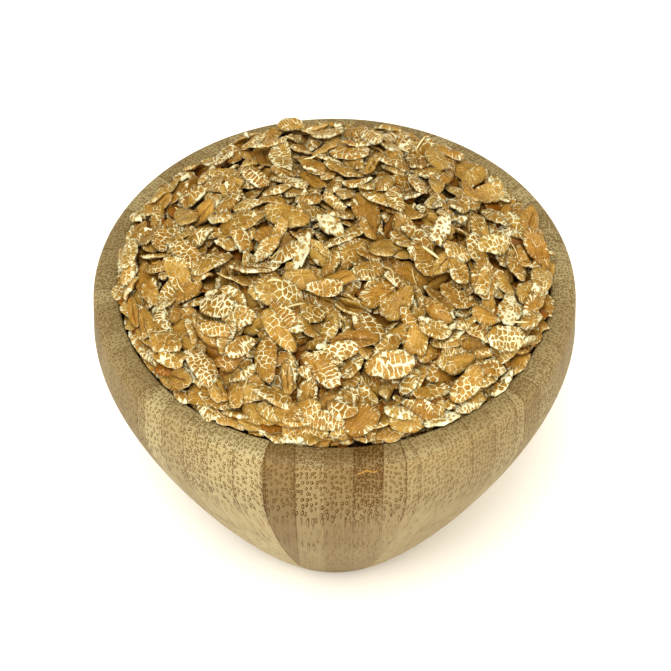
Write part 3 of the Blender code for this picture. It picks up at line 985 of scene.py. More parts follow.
class Wire:
    """What a shader node puts out. A sum with wires adds the nodes that work it out."""

    def __init__(self, recipe, socket):
        self.recipe = recipe
        self.socket = socket

    __add__ = __radd__ = calculation("ADD")
    __sub__ = calculation("SUBTRACT")
    __mul__ = __rmul__ = calculation("MULTIPLY")
    __truediv__ = calculation("DIVIDE")
    __abs__ = calculation("ABSOLUTE")
    __lt__ = calculation("LESS_THAN")
    __gt__ = calculation("GREATER_THAN")
    near = calculation("COMPARE")
    at_least = calculation("MAXIMUM")
    at_most = calculation("MINIMUM")
    nearest = calculation("ROUND")
    floor = calculation("FLOOR")
    fraction = calculation("FRACT")
    wrapped = calculation("FLOORED_MODULO")
    folded = calculation("PINGPONG")
    sine = calculation("SINE")
    cosine = calculation("COSINE")
    length = calculation("LENGTH")

    def __rsub__(self, other):
        return calculate("SUBTRACT", other, self)

    def clamped(self):
        """Keeps what its Math node puts out between 0 and 1."""
        self.socket.node.use_clamp = True
        return self

    def parts(self):
        """Its x, y and z, or its red, green and blue."""
        node = self.recipe.node("SeparateXYZ", (self,))
        return [Wire(self.recipe, socket) for socket in node.outputs]

    def ramp(self, low, high, to_low=0.0, to_high=1.0):
        """Goes smoothly from to_low to to_high as this goes from low to high."""
        values = (self, low, high, to_low, to_high)
        return self.recipe.wire("MapRange", values, interpolation_type="SMOOTHSTEP")

    def fade(self, low, high, most=1.0):
        """Goes smoothly from most to nothing as this goes from low to high."""
        return self.ramp(low, high, most, 0.0)

    def shaded(self, value, dark, light):
        """This colour times a tint that goes from dark to light with a value."""
        return self.tinted(value.blend(dark, light))

    def blend(self, first, second):
        """Goes from the first value or colour to the second as this goes from 0 to 1."""
        both = (first, second)
        if all(isinstance(end, Wire) and end.socket.type == "VALUE" for end in both):
            return self.recipe.wire("Mix", {0: self, 2: first, 3: second}, data_type="FLOAT")
        return self.recipe.mix(self, first, second)

    def tinted(self, tint, share=1.0):
        """This colour times a tint, as far as the share says."""
        return self.recipe.mix(share, self, tint, "MULTIPLY")


class Recipe:
    """Adds shader nodes to a tree."""

    def __init__(self, tree):
        self.tree = tree

    def node(self, kind, inputs=(), **settings):
        """A node with these settings, and these inputs in order or by their names."""
        node = self.tree.nodes.new("ShaderNode" + kind)
        for name, value in settings.items():
            setattr(node, name, value)
        for key, value in inputs.items() if isinstance(inputs, dict) else enumerate(inputs):
            feed(node.inputs[key], value)
        return node

    def wire(self, kind, inputs=(), output=0, **settings):
        """The wire from one output of a new node."""
        return Wire(self, self.node(kind, inputs, **settings).outputs[output])

    def wires(self, node):
        """The wires from a node, by their names."""
        return {socket.name: Wire(self, socket) for socket in node.outputs}

    def place(self):
        """A point's place on the object, in metres."""
        return self.wire("TexCoord", output="Object")

    def read(self, name):
        """The value that a piece keeps under this name for each vertex."""
        return self.wire("Attribute", output="Fac", attribute_name=name)

    def join(self, x, y, z=0.0):
        """One place from its three parts."""
        return self.wire("CombineXYZ", (x, y, z))

    def mix(self, share, first, second, blend="MIX"):
        """A share of the second colour laid over the first."""
        inputs = {0: share, 6: first, 7: second}
        return self.wire("Mix", inputs, 2, data_type="RGBA", blend_type=blend)

    def noise(self, place, scale, detail=2.0, roughness=0.5, output="Fac"):
        """Soft noise of this many waves to a unit of the place."""
        inputs = {"Vector": place, "Scale": scale, "Detail": detail, "Roughness": roughness}
        return self.wire("TexNoise", inputs, output)

    def stray(self, place, scale, reach, roughness=0.5):
        """A slow drift in x and y, by up to half the reach each way."""
        drift = self.noise(place, scale, roughness=roughness, output="Color")
        return (drift - (0.5, 0.5, 0.5)) * (reach, reach, 0.0)

    def draw(self, x, y, z):
        """Three random values for three whole numbers."""
        inputs = {"Vector": self.join(x, y, z)}
        return self.wire("TexWhiteNoise", inputs, "Color", noise_dimensions="3D").parts()

    def cells(self, place, randomness, feature="F1"):
        """A texture of scattered cells about one unit wide."""
        inputs = {"Vector": place, "Scale": 1.0, "Randomness": randomness}
        return self.wires(
            self.node("TexVoronoi", inputs, voronoi_dimensions="2D", feature=feature)
        )

    def gap(self, place, randomness=0.8):
        """Distance to the nearest border of such cells."""
        return self.cells(place, randomness, "DISTANCE_TO_EDGE")["Distance"]

    def group(self, tree, **values):
        """The wires from a group, with its inputs set by their names in small letters."""
        inputs = {name.capitalize().replace("_", " "): value for name, value in values.items()}
        return self.wires(self.node("Group", inputs, node_tree=tree))

    def finish(self, colour, roughness, height=None, depth=0.0, strength=1.0, gloss=0.5):
        """Sets the surface's colour, roughness and gloss, and a bump of this depth in metres."""
        shader = self.tree.nodes["Principled BSDF"]
        feed(shader.inputs["Base Color"], colour)
        feed(shader.inputs["Roughness"], roughness)
        shader.inputs["Specular IOR Level"].default_value = gloss
        if height is not None:
            inputs = {"Strength": strength, "Distance": depth, "Height": height}
            feed(shader.inputs["Normal"], self.wire("Bump", inputs))


def new_group(name, inputs, outputs):
    """A node group with named sockets: its recipe, the wires it is given, and its results."""
    tree = bpy.data.node_groups.new(name, "ShaderNodeTree")
    for in_out, sockets in (("INPUT", inputs), ("OUTPUT", outputs)):
        for kind, labels in sockets.items():
            for label in labels:
                tree.interface.new_socket(
                    label, in_out=in_out, socket_type="NodeSocket" + kind
                )
    recipe = Recipe(tree)
    given = recipe.wires(tree.nodes.new("NodeGroupInput"))
    return recipe, given, tree.nodes.new("NodeGroupOutput").inputs


def new_material(name):
    """A material, and the recipe of its tree."""
    material = bpy.data.materials.new(name)
    material.use_nodes = True
    return material, Recipe(material.node_tree)


def pores_group():
    """The cut ends of bamboo fibres: brown rings with a pale heart, scattered in a plane."""
    recipe, given, made = new_group(
        "bamboo pores",
        {"Vector": ("Place",), "Float": ("Spacing", "Size")},
        {"Float": ("Ring", "Heart")},
    )
    scaled = given["Place"] / given["Spacing"]
    cell = recipe.cells(scaled, 0.6)
    offset = (scaled - cell["Position"]) * given["Spacing"]
    drawn = cell["Color"].parts()
    size = given["Size"] * drawn[0].ramp(0.0, 1.0, 0.8, 1.2)
    there = drawn[1].ramp(0.0, 0.3, 0.7, 1.0)
    disc = offset.length().fade(size * 0.86, size * 1.12)
    aside = offset + (0.07, 0.02, 0.0)
    heart = aside.length().fade(size * 0.3, size * 0.58)
    feed(made["Ring"], there * (disc - heart).clamped())
    feed(made["Heart"], there * heart)
    return recipe.tree


def bamboo_material(looks):
    """Laminated bamboo: staves of upright strips, with their fibres' cut ends and streaks.

    All of it is in millimetres, with z up from the foot.
    """
    material, recipe = new_material("laminated bamboo")
    place = recipe.place() * (1 / MM, 1 / MM, 1 / MM)
    x, y, z = place.parts()

    # Each stave has its own upright plane: across runs along it, and out points away.
    turn = math.tau / STAVES
    azimuth = calculate("ARCTAN2", y, x) + math.pi / 2
    stave = (azimuth / turn).nearest()
    middle = stave * turn - math.pi / 2
    cosine = middle.cosine()
    sine = middle.sine()
    across = y * cosine - x * sine
    out = x * cosine + y * sine
    stave = stave.wrapped(STAVES)
    front = abs(stave) < 0.5

    # The strips of a stave, and where a point lies in its strip.
    strips = (across + (stave * STRIP_STAGGER + STRIP_SHIFT)) / STRIP_WIDTH
    strip = strips.floor()
    within = strips.fraction()
    drawn = recipe.draw(stave, strip, 3.0)
    from_line = within.folded(0.5) * STRIP_WIDTH
    from_joint = out * math.tan(turn / 2) - abs(across)
    to_next = (1.0 - within) * STRIP_WIDTH

    # The plane across the fibres, in which their cut ends are round.
    lean_out = math.cos(FIBRE_LEAN)
    lean_up = math.sin(FIBRE_LEAN)
    level = out * lean_out - z * lean_up
    along = out * lean_up + z * lean_out
    drift = (drawn[2] + stave) * 37.0
    on_top = z > FLAT_TOP_HEIGHT
    spread = level * 1.5
    rung = (out - spread) * on_top + spread
    level = level + drift
    cut = recipe.join(across, rung + drift) + recipe.stray(place, 0.35, 0.7)

    # Coarse rings, and denser ones in some strips, along the seams and on the rim's top in front.
    open_grain = front.at_least(stave.near(STAVES - 1.0, 0.5)) * (1.0 - on_top)
    pores = pores_group()
    coarse = recipe.group(
        pores, place=cut, spacing=open_grain * 0.24 + 0.92, size=open_grain * 0.07 + 0.28
    )
    dense = recipe.group(pores, place=cut, spacing=0.86, size=0.33)
    front_dense = strip.near(1.0, 0.5) * front
    crowd = (drawn[1] > 0.78) * (1.0 - front) + front_dense
    crowd = crowd.at_least(to_next.fade(0.6, 1.5)).at_least(on_top * front * 0.7)
    ring = crowd.blend(coarse["Ring"], dense["Ring"])
    heart = crowd.blend(coarse["Heart"], dense["Heart"])

    # The strips' tones: drawn for each, and chosen for those of the front stave.
    tone = drawn[0] * 0.6 + recipe.draw(stave, 7.0, 11.0)[0] * 0.3
    # Painted shade: the staves toward the sides are left darker than those toward the front and
    # back.
    tone = (tone + abs(cosine).fade(0.7, 0.95, 0.22)).clamped()
    stave_width = 2 * RIM_RADIUS / MM * math.sin(turn / 2)
    chosen = recipe.node("ValToRGB", (across * (1 / stave_width) + 0.5,))
    chosen.color_ramp.interpolation = "CONSTANT"
    elements = chosen.color_ramp.elements
    for index, (start, value) in enumerate(FRONT_STRIPS):
        element = elements[index] if index < len(elements) else elements.new(start)
        element.position = start
        element.color = (value, value, value, 1.0)
    tone = front.blend(tone, Wire(recipe, chosen.outputs["Color"]).parts()[0])
    wood = tone.blend(looks.tan, looks.pale)

    # Fibres: fine streaks along the strip, and slow patches.
    fibres = recipe.noise(recipe.join(across * 2.6, level * 2.6, along * 0.12), 1.0, 3.0, 0.6)
    wood = wood.shaded(fibres.ramp(0.25, 0.75), (0.86, 0.84, 0.8), 1.08)
    patches = recipe.noise(place, 0.045, 3.0)
    wood = wood.shaded(patches.ramp(0.3, 0.7), (0.94, 0.93, 0.91), 1.04)

    # Pores are strongest near the rim. Low on the wall they fade into pale streaks.
    streaky = z.ramp(44.0, 52.0) * z.fade(58.0, 68.0)
    near_black = front_dense * z.ramp(70.0, 86.0, 0.0, 0.9)
    strong = z.ramp(40.0, 50.0, 0.4, 1.0) * (streaky * -0.8 + 1.0)
    strong = strong * drawn[0].ramp(0.0, 1.0, 0.8, 1.0) + near_black
    strong = strong * (front * 0.2 + 0.8)
    ring = (ring * strong).clamped()
    wood = wood.tinted((1.28, 1.24, 1.1), heart * (strong * 0.45))
    wood = wood.tinted((0.62, 0.5, 0.34), near_black * 0.6)
    wood = ring.blend(wood, looks.pore)

    # Dark dots along the seams, and dashes in the streaks.
    dots = recipe.noise(recipe.join(rung * 2.4, strip + drift), 1.0, 1.0)
    dots = dots.ramp(0.42, 0.56, 0.0, 0.8) * to_next.at_most(from_joint).fade(0.2, 0.5)
    dots = dots * z.ramp(44.0, 70.0) * drawn[2].ramp(0.2, 0.7, 0.25, 1.0)
    wood = (dots * (front * 0.5 + 0.5)).blend(wood, looks.pore)
    dashes = recipe.noise(recipe.join(across * 2.3, z * 0.2, drift), 1.0)
    wood = wood.tinted((0.74, 0.52, 0.28), dashes.ramp(0.56, 0.66, 0.0, 0.75) * streaky)

    # Glue lines between strips, and darker, wider ones between staves.
    joint = from_joint.fade(0.05, 0.24, front * 0.15 + 0.15)
    line = from_line.fade(0.04, 0.18, 0.3).at_least(joint)
    wood = wood.tinted((0.5, 0.42, 0.3), line)

    # A short golden split in the front stave, close under the rim.
    off_split = abs(z - ((x * 1.9).sine() * 0.3 + SPLIT_PLACE[1]))
    along_split = abs(x - SPLIT_PLACE[0])
    split = off_split.fade(0.08, 0.28, 0.8) * along_split.fade(1.9, 2.6)
    wood = (split * front).blend(wood, (0.46, 0.29, 0.075))

    # Painted shade: a warmer, darker band just under the rim's rounded edge. The rim's flat top,
    # with the fibres cut across, is greyer.
    rounded = z.ramp(78.0, 84.5) * z.fade(86.0, 87.2)
    wood = wood.tinted((0.97, 0.9, 0.78), rounded * 0.4)
    wood = wood.tinted((0.94, 0.95, 0.96), z.ramp(86.4, 87.6))
    roughness = fibres.ramp(0.2, 0.8, 0.5, 0.66)
    recipe.finish(wood, roughness, fibres * 0.3 - ring, 0.04 * MM, 0.6, gloss=0.25)
    return material


def bran_group():
    """Bran with its cracks: a net, finer cracks, and a fringe of cracks from the edge."""
    recipe, given, made = new_group(
        "cracked bran",
        {
            "Vector": ("Grain", "Shape", "Cell"),
            "Float": ("Tone", "Cracks", "Net", "Fringe"),
            "Color": ("Light bran", "Dark bran", "Starch"),
        },
        {"Color": ("Color",), "Float": ("Height", "Roughness")},
    )
    grain = given["Grain"]
    stray = recipe.stray(grain, 0.75, 0.8, 0.55)
    cells = (grain + stray) / given["Cell"]
    island = recipe.cells(cells, 0.8)["Color"].parts()
    other = grain + (17.0, 5.0, 3.0)
    patch = recipe.noise(grain, 0.26, 1.0).ramp(0.36, 0.64)
    second = recipe.noise(other, 0.4, 1.0).ramp(0.46, 0.72)
    broken = recipe.noise(other, 0.95, 1.0).ramp(0.38, 0.6)

    # The net, and finer cracks in it.
    power = given["Net"] * given["Cracks"]
    border = recipe.gap(cells)
    wide = power * (patch * 0.15 + broken * 0.07) - 0.012
    net = border.fade(wide * 0.6, wide + 0.03) * wide.ramp(0.0, 0.04)
    thin = power * (second * 0.05)
    fine = recipe.gap(cells * (1.9, 2.3, 1.0), 0.9).fade(thin * 0.5, thin + 0.02)
    mask = net.at_least(fine * thin.ramp(0.012, 0.05, 0.0, 0.8))

    # Cracks that run in from the edge, in some stretches of it.
    reach = given["Shape"].length()
    u, v, _ = given["Shape"].parts()
    aside, inwards, _ = stray.parts()
    around = calculate("ARCTAN2", v, u) * 3.9 + aside * 1.2
    offset = given["Tone"] * 19.0
    inward = reach + inwards * 0.45
    broad = given["Fringe"] * given["Cracks"] * inward.ramp(0.35, 1.0) * (broken * 0.2 + 0.01)
    spokes = recipe.gap(recipe.join(around + offset, offset))
    fringe = spokes.fade(broad * 0.5, broad + 0.03) * broad.ramp(0.01, 0.05)
    mask = mask.at_least(fringe)

    # Islands that have flaked off show the grain under them, most of all towards the edge.
    lost = inward.ramp(0.5, 1.2) * (second * patch) * (power * 1.1)
    crumbled = recipe.noise(grain, 1.7).ramp(0.36, 0.46)
    bare_edge = reach.ramp(0.95, 1.0, 0.0, 0.9) * patch.at_least(0.5)
    mask = mask.at_least((island[0] < lost) * crumbled).at_least(bare_edge)

    # The bran between: two browns, slow blotches, lines along the grain, and speckles.
    blotch = recipe.noise(grain, 0.3, 3.0, 0.6)
    brown = (blotch - 0.5) * 0.95 + 0.5 + (island[1] - 0.5) * 0.3
    brown = (brown + given["Tone"] * 0.3).clamped()
    bran = brown.blend(given["Dark bran"], given["Light bran"])
    lines = recipe.noise(grain * (0.4, 2.4, 1.0), 1.0, 3.0, 0.65)
    bran = bran.shaded(lines.ramp(0.3, 0.7), (0.76, 0.73, 0.65), (1.13, 1.13, 1.11))
    speckle = recipe.noise(grain, 2.6, 1.0).ramp(0.3, 0.7)
    bran = bran.shaded(speckle, (0.87, 0.85, 0.78), 1.1)
    warmth = recipe.noise(grain, 0.06, 0.0).ramp(0.36, 0.64)
    bran = bran.shaded(warmth, (1.03, 0.985, 0.95), (0.985, 1.015, 1.05))
    halo = border.fade(wide, wide + 0.16, 0.16) * power.at_most(1.0)
    bran = halo.blend(bran, recipe.mix(0.5, given["Starch"], given["Light bran"]))
    white = given["Starch"].shaded(blotch.ramp(0.3, 0.7), (0.86, 0.82, 0.7), 1.04)

    # The flakes that lie deep, marked by a tone under -1, get painted shade: browner and darker, as
    # in the shadow under the flakes above.
    deep = given["Tone"].fade(-2.2, -1.1)
    feed(made["Color"], mask.blend(bran, white).tinted((0.96, 0.79, 0.56), deep))
    wrinkles = recipe.noise(grain * (0.3, 0.9, 1.0), 1.0)
    crown = border.at_most(0.3) * power.at_most(1.0)
    feed(made["Height"], lines * 0.3 + wrinkles * 2.2 + crown - mask * 0.4)
    feed(made["Roughness"], mask.ramp(0.0, 1.0, 0.44, 0.8))
    return recipe.tree


def bran_material(kind, group, looks):
    """The finish of one kind of flake: how long its crack cells are, and how much it cracks."""
    material, recipe = new_material(kind.finish)
    stretch, net, fringe = kind.net
    grain = recipe.wire("UVMap", uv_map="grain")
    shape = recipe.wire("UVMap", uv_map="shape")
    bran = recipe.group(
        group, grain=grain, shape=shape, tone=recipe.read("tone"), cracks=recipe.read("cracks"),
        light_bran=looks.light_bran, dark_bran=looks.dark_bran, starch=looks.starch,
        cell=(looks.crack_cell * stretch, looks.crack_cell / stretch, 1.0), net=net, fringe=fringe,
    )
    surface = bran["Color"]
    height = bran["Height"]
    if kind.groove_and_shade:
        u, v, _ = shape.parts()
        wander = (recipe.noise(grain, 0.9) - 0.5) * 0.35 + (u * 2.6).sine() * 0.05
        ends = abs(u).fade(0.4, 0.85)
        groove_and_shade = abs(v + wander).fade(0.02, 0.14, 0.6) * ends
        # Painted shade: a near-black line down the crease stands in for the shade in its fold.
        surface = groove_and_shade.blend(surface, (0.11, 0.045, 0.008))
        height = height - groove_and_shade
    recipe.finish(surface, bran["Roughness"], height, 0.12 * MM, 0.8, gloss=0.2)
    return material


def crumb_material(looks):
    """Crumbs: from starch white to bran brown, each with one tone."""
    material, recipe = new_material("crumbs")
    tone = recipe.read("tone")
    brown = tone.blend(looks.dark_bran, looks.light_bran)
    mottle = recipe.noise(recipe.place(), 1800.0)
    shade = tone.ramp(0.55, 0.75).blend(brown, looks.starch)
    shade = shade.shaded(mottle, (0.7, 0.66, 0.6), 1.15)
    recipe.finish(shade, 0.75, mottle, 0.1 * MM, 0.6)
    return material


def husk_material():
    """Husk slivers: pale straw, ribbed along their length."""
    material, recipe = new_material("husk")
    ribs = recipe.noise(recipe.wire("UVMap", uv_map="grain") * (0.5, 9.0, 1.0), 1.0)
    straw = recipe.read("tone").blend((0.50, 0.38, 0.17), (0.80, 0.72, 0.48))
    straw = straw.shaded(ribs, (0.72, 0.68, 0.58), (1.15, 1.15, 1.1))
    recipe.finish(straw, 0.5, ribs, 0.06 * MM, 0.7)
    return material


def core_shade_material():
    """The heap's inside, seen only through gaps between flakes, in near-black browns that are
    painted shade.
    """
    material, recipe = new_material("heap inside")
    lumps = recipe.noise(recipe.place(), 260.0, 3.0, 0.6)
    # Painted shade: near-black browns stand in for the shadow deep among the flakes.
    brown = lumps.ramp(0.35, 0.65).blend((0.02, 0.006, 0.001), (0.08, 0.03, 0.005))
    recipe.finish(brown, 0.9, lumps, 0.8 * MM)
    return material


def floor_material(looks):
    """The studio's matt pale floor."""
    material, recipe = new_material("studio floor")
    cloud = recipe.noise(recipe.place(), 2.0, 1.0)
    shade = cloud.blend([0.985 * value for value in looks.floor], looks.floor)
    recipe.finish(shade, 0.9, gloss=0.1)
    return material


# Small things on the flakes


def heap_tree():
    """A search tree of all the flakes, the core and the bowl, to rest small things on."""
    points = []
    faces = []
    names = [kind.name for kind in FLAKE_KINDS] + [kind[0].name for kind in BIT_KINDS]
    for name in names + ["flake_core", "bamboo_bowl"]:
        if name in bpy.data.objects:
            data = bpy.data.objects[name].data
            offset = len(points)
            points.extend(corner.co.copy() for corner in data.vertices)
            faces.extend([offset + i for i in face.vertices] for face in data.polygons)
    return BVHTree.FromPolygons(points, faces)


def draw_place(draw, reach):
    """A place drawn evenly from the disc of this radius."""
    return reach * math.sqrt(draw.random()) * way(draw.uniform(0.0, math.tau))


def drop(tree, x, y):
    """Where a small thing dropped at a place comes to rest, and the surface's normal there."""
    return tree.ray_cast(Vector((x, y, 2 * BOWL_HEIGHT)), Vector((0.0, 0.0, -1.0)))[:2]


def crumb_shape(size, draw):
    """A crumb's corners and faces: a rough, flattened lump of twelve corners."""
    long = (1 + 5**0.5) / 2
    corners = []
    for a, b in itertools.product((-1.0, 1.0), (-long, long)):
        corners += [(0.0, a, b), (a, b, 0.0), (b, 0.0, a)]
    corners = np.array(corners)
    corners /= np.linalg.norm(corners, axis=1)[:, None]
    near = np.linalg.norm(corners[:, None] - corners[None], axis=2) < 1.1
    faces = []
    for i, j, k in itertools.combinations(range(12), 3):
        if near[i, j] and near[j, k] and near[i, k]:
            outward = np.cross(corners[j] - corners[i], corners[k] - corners[i]) @ corners[i]
            faces.append((i, j, k) if outward > 0 else (i, k, j))
    lump = corners * draw.uniform(0.7, 1.2, (12, 1))
    lump = lump * draw.uniform((0.8, 0.5, 0.35), (1.2, 0.9, 0.7))
    return 0.5 * size * lump, faces


def sliver_shape(start, end, width, arch, draw):
    """A husk sliver from start to end: a thin bent strip that tapers at both ends."""
    along = np.linspace(0.0, 1.0, SLIVER_STEPS)
    length = np.linalg.norm(end - start)
    direction = (end - start) / length
    up = np.array([0.0, 0.0, 1.0])
    side = np.cross(direction, up)
    side /= np.linalg.norm(side)
    tilt = draw.normal(0.0, 0.5)
    face = math.cos(tilt) * side + math.sin(tilt) * np.cross(side, direction)
    over = 0.12 * MM * np.cross(face, direction)
    bow = draw.normal(0.0, 0.06) * length
    line = start + along[:, None] * (end - start)
    line = line + (4 * along * (1 - along))[:, None] * (arch * up + bow * side)
    half = (0.5 * width * (0.25 + 0.75 * np.sin(np.pi * along) ** 0.6))[:, None] * face
    points = np.concatenate([line + half, line + over, line - half, line - over])
    faces = []
    for row in range(4):
        first = row * SLIVER_STEPS
        beside = (row + 1) % 4 * SLIVER_STEPS
        for i in range(SLIVER_STEPS - 1):
            faces.append((first + i, first + i + 1, beside + i + 1, beside + i))
    faces.append(tuple(row * SLIVER_STEPS for row in range(4)))
    faces.append(tuple(row * SLIVER_STEPS + SLIVER_STEPS - 1 for row in (3, 2, 1, 0)))
    ribs = np.repeat([1.0, 0.5, 0.0, 0.5], SLIVER_STEPS) * width / MM
    return points, faces, np.stack([np.tile(along * (length / MM), 4), ribs], axis=1)


# Operators, one for each piece or group of like pieces


class SPELT_OT_bowl(bpy.types.Operator):
    """Turn the bamboo bowl: foot, wall, belly, rounded rim, lip and well"""

    bl_idname = "spelt.bowl"
    bl_label = "Bamboo bowl"

    def execute(self, context):
        looks = context.scene.spelt_bowl
        lip = arc_points((MOUTH_RADIUS + LIP_ROUND, BOWL_HEIGHT - LIP_ROUND), LIP_ROUND, 90, 180, 5)
        bowl = turn_up("bamboo_bowl", outer_profile() + lip[:-1] + inner_profile(), looks.sides)
        bowl.data.materials.append(bamboo_material(looks))
        hand_over(bowl, "bowl")
        return {"FINISHED"}


class SPELT_OT_core(bpy.types.Operator):
    """Fill the bowl with the heap's core, which lies under the loose flakes and is painted
    near-black as shade
    """

    bl_idname = "spelt.core"
    bl_label = "Heap core"

    def execute(self, context):
        smooth = packed_heap()[2]
        edge = MOUTH_RADIUS - WALL_GAP
        shoulder = BOWL_HEIGHT - CORE_SHOULDER
        below = [point for point in inner_profile(WALL_GAP, 10)[::-1] if point[1] < shoulder]
        rings = [edge * (1.0 - ring / CORE_RINGS) ** 0.8 for ring in range(CORE_RINGS)]
        core = turn_up("flake_core", below + [(radius, shoulder) for radius in rings], CORE_SIDES)
        for corner in core.data.vertices:
            if corner.co.z > shoulder - 0.01 * MM:
                rise = float(read_field(smooth, corner.co.x, corner.co.y)) - CORE_DEPTH
                share = math.hypot(corner.co.x, corner.co.y) / (edge + 0.01 * MM)
                fall = max(0.0, (share - CORE_FLAT) / (1.0 - CORE_FLAT)) ** 2
                corner.co.z = BOWL_HEIGHT + rise * (1.0 - fall) - CORE_SHOULDER * fall
        core.data.materials.append(core_shade_material())
        hand_over(core, "flakes")
        return {"FINISHED"}


class SPELT_OT_flakes(bpy.types.Operator):
    """Lay the flakes, each kind joined into one piece"""

    bl_idname = "spelt.flakes"
    bl_label = "Spelt flakes"

    def execute(self, context):
        packed, field, smooth = packed_heap()
        showing = [packed[index] for index in np.unique(field.owner[field.owner >= 0])]
        full = flake_template(*FULL_MESH)
        plain = flake_template(*PLAIN_MESH)
        # Each layer has its flakes, their mesh, how far they are cracked, and their tones. Tones
        # under -1 paint shade on the flakes that lie deep.
        layers = (
            (showing, full, 0.75, (-1.3, 0.9)),
            (under_layer(smooth), plain, 0.35, (-2.6, -1.2)),
            (wall_layer(smooth), plain, 1.0, (-0.8, 1.0)),
            (spilled_layer(), full, 1.0, (-0.8, 1.0)),
            (leaning_stacks(field, smooth), full, 1.0, (-1.0, 1.0)),
            (top_layer(field, smooth), full, 1.0, (-1.0, 1.0)),
        )
        draw = np.random.default_rng(SEED + 1)
        batches = {kind: Joined() for kind in FLAKE_KINDS}
        for flakes, template, cracked, tones in layers:
            for flake in flakes:
                kind = choose_kind(flake, draw)
                points, shape, grain = flake_points(flake, template, kind, draw)
                batches[kind].add(
                    keep_clear(points), template[3], shape=shape, grain=place_grain(grain, draw),
                    tone=draw.uniform(*tones), cracks=cracked * kind.draw_cracks(draw),
                )
        group = bran_group()
        for kind, batch in batches.items():
            batch.build(kind.name, bran_material(kind, group, context.scene.spelt_flakes))
        return {"FINISHED"}


class SPELT_OT_bits(bpy.types.Operator):
    """Scatter small bits of bran and ragged lumps of starch among the flakes"""

    bl_idname = "spelt.bits"
    bl_label = "Bran bits and starch lumps"

    def execute(self, context):
        draw = np.random.default_rng(SEED + 5)
        tree = heap_tree()
        template = flake_template(*PLAIN_MESH)
        for kind, count, lengths, thicknesses in BIT_KINDS:
            batch = Joined()
            for _ in range(count):
                bit = Flake(draw)
                bit.long = 0.5 * draw.uniform(*lengths) * MM
                bit.wide = bit.long * draw.uniform(*BIT_WIDTHS)
                bit.thick = draw.uniform(*thicknesses) * MM
                bit.bend = draw.normal(0.0, BIT_BEND) * bit.long
                bit.lean = draw.normal(0.0, BIT_LEAN, 2)
                bit.steep = 0.0
                spot = draw_place(draw, MOUTH_RADIUS - WALL_GAP - bit.long)
                place, normal = drop(tree, *spot)
                bit.point_along(-np.array(normal)[:2] / max(normal.z, 0.5))
                bit.middle[:] = place + 0.3 * bit.thick * normal
                bit.middle[2] -= BOWL_HEIGHT
                points, shape, grain = flake_points(bit, template, kind, draw)
                batch.add(
                    keep_clear(points), template[3], shape=shape,
                    grain=grain + draw.uniform(0.0, GRAIN_SHIFT, 2),
                    tone=draw.uniform(-1.0, 1.0), cracks=kind.draw_cracks(draw),
                )
            batch.build(kind.name, bpy.data.materials[kind.finish])
        return {"FINISHED"}


class SPELT_OT_crumbs(bpy.types.Operator):
    """Strew crumbs of bran and starch over the heap"""

    bl_idname = "spelt.crumbs"
    bl_label = "Crumbs"

    def execute(self, context):
        looks = context.scene.spelt_flakes
        draw = np.random.default_rng(SEED + 2)
        tree = heap_tree()
        batch = Joined()
        for _ in range(looks.crumbs):
            spot = draw_place(draw, MOUTH_RADIUS - 1.5 * MM)
            size = min(CRUMB_SIZE * math.exp(draw.normal(0.0, 0.45)), LARGEST_CRUMB) * MM
            corners, faces = crumb_shape(size, draw)
            spin = Euler(draw.uniform(0.0, math.tau, 3)).to_matrix()
            place, normal = drop(tree, *spot)
            turned = corners @ np.array(spin).T
            batch.add(turned + np.array(place + 0.2 * size * normal), faces, tone=draw.random())
        batch.build("crumbs", crumb_material(looks)).data.shade_flat()
        return {"FINISHED"}


class SPELT_OT_slivers(bpy.types.Operator):
    """Lay thin slivers of husk among the flakes"""

    bl_idname = "spelt.slivers"
    bl_label = "Husk slivers"

    def execute(self, context):
        draw = np.random.default_rng(SEED + 3)
        tree = heap_tree()
        batch = Joined()
        laid = 0
        while laid < context.scene.spelt_flakes.slivers:
            middle = draw_place(draw, MOUTH_RADIUS - 2.5 * MM)
            length = draw.uniform(*SLIVER_LENGTHS) * MM
            reach = 0.5 * length * way(draw.uniform(0.0, math.pi))
            width = draw.uniform(*SLIVER_WIDTHS) * MM
            tone = draw.random()
            if max(np.hypot(*(middle + reach)), np.hypot(*(middle - reach))) > MOUTH_RADIUS - MM:
                continue
            hits = [drop(tree, *(middle + share * reach))[0] for share in np.linspace(-1, 1, 5)]
            heights = np.array([hit.z for hit in hits])
            level = np.linspace(heights[0], heights[-1], len(heights))
            arch = max(0.0, float((heights - level).max()))
            if abs(heights[0] - heights[-1]) > SLIVER_SLOPE * length or arch > SLIVER_ARCH:
                continue
            ends = [np.array(hits[end]) + SLIVER_LIFT for end in (0, -1)]
            points, faces, grain = sliver_shape(*ends, width, arch, draw)
            batch.add(points, faces, grain=grain + draw.uniform(0.0, 300.0, 2), tone=tone)
            laid += 1
        batch.build("husk_slivers", husk_material())
        return {"FINISHED"}


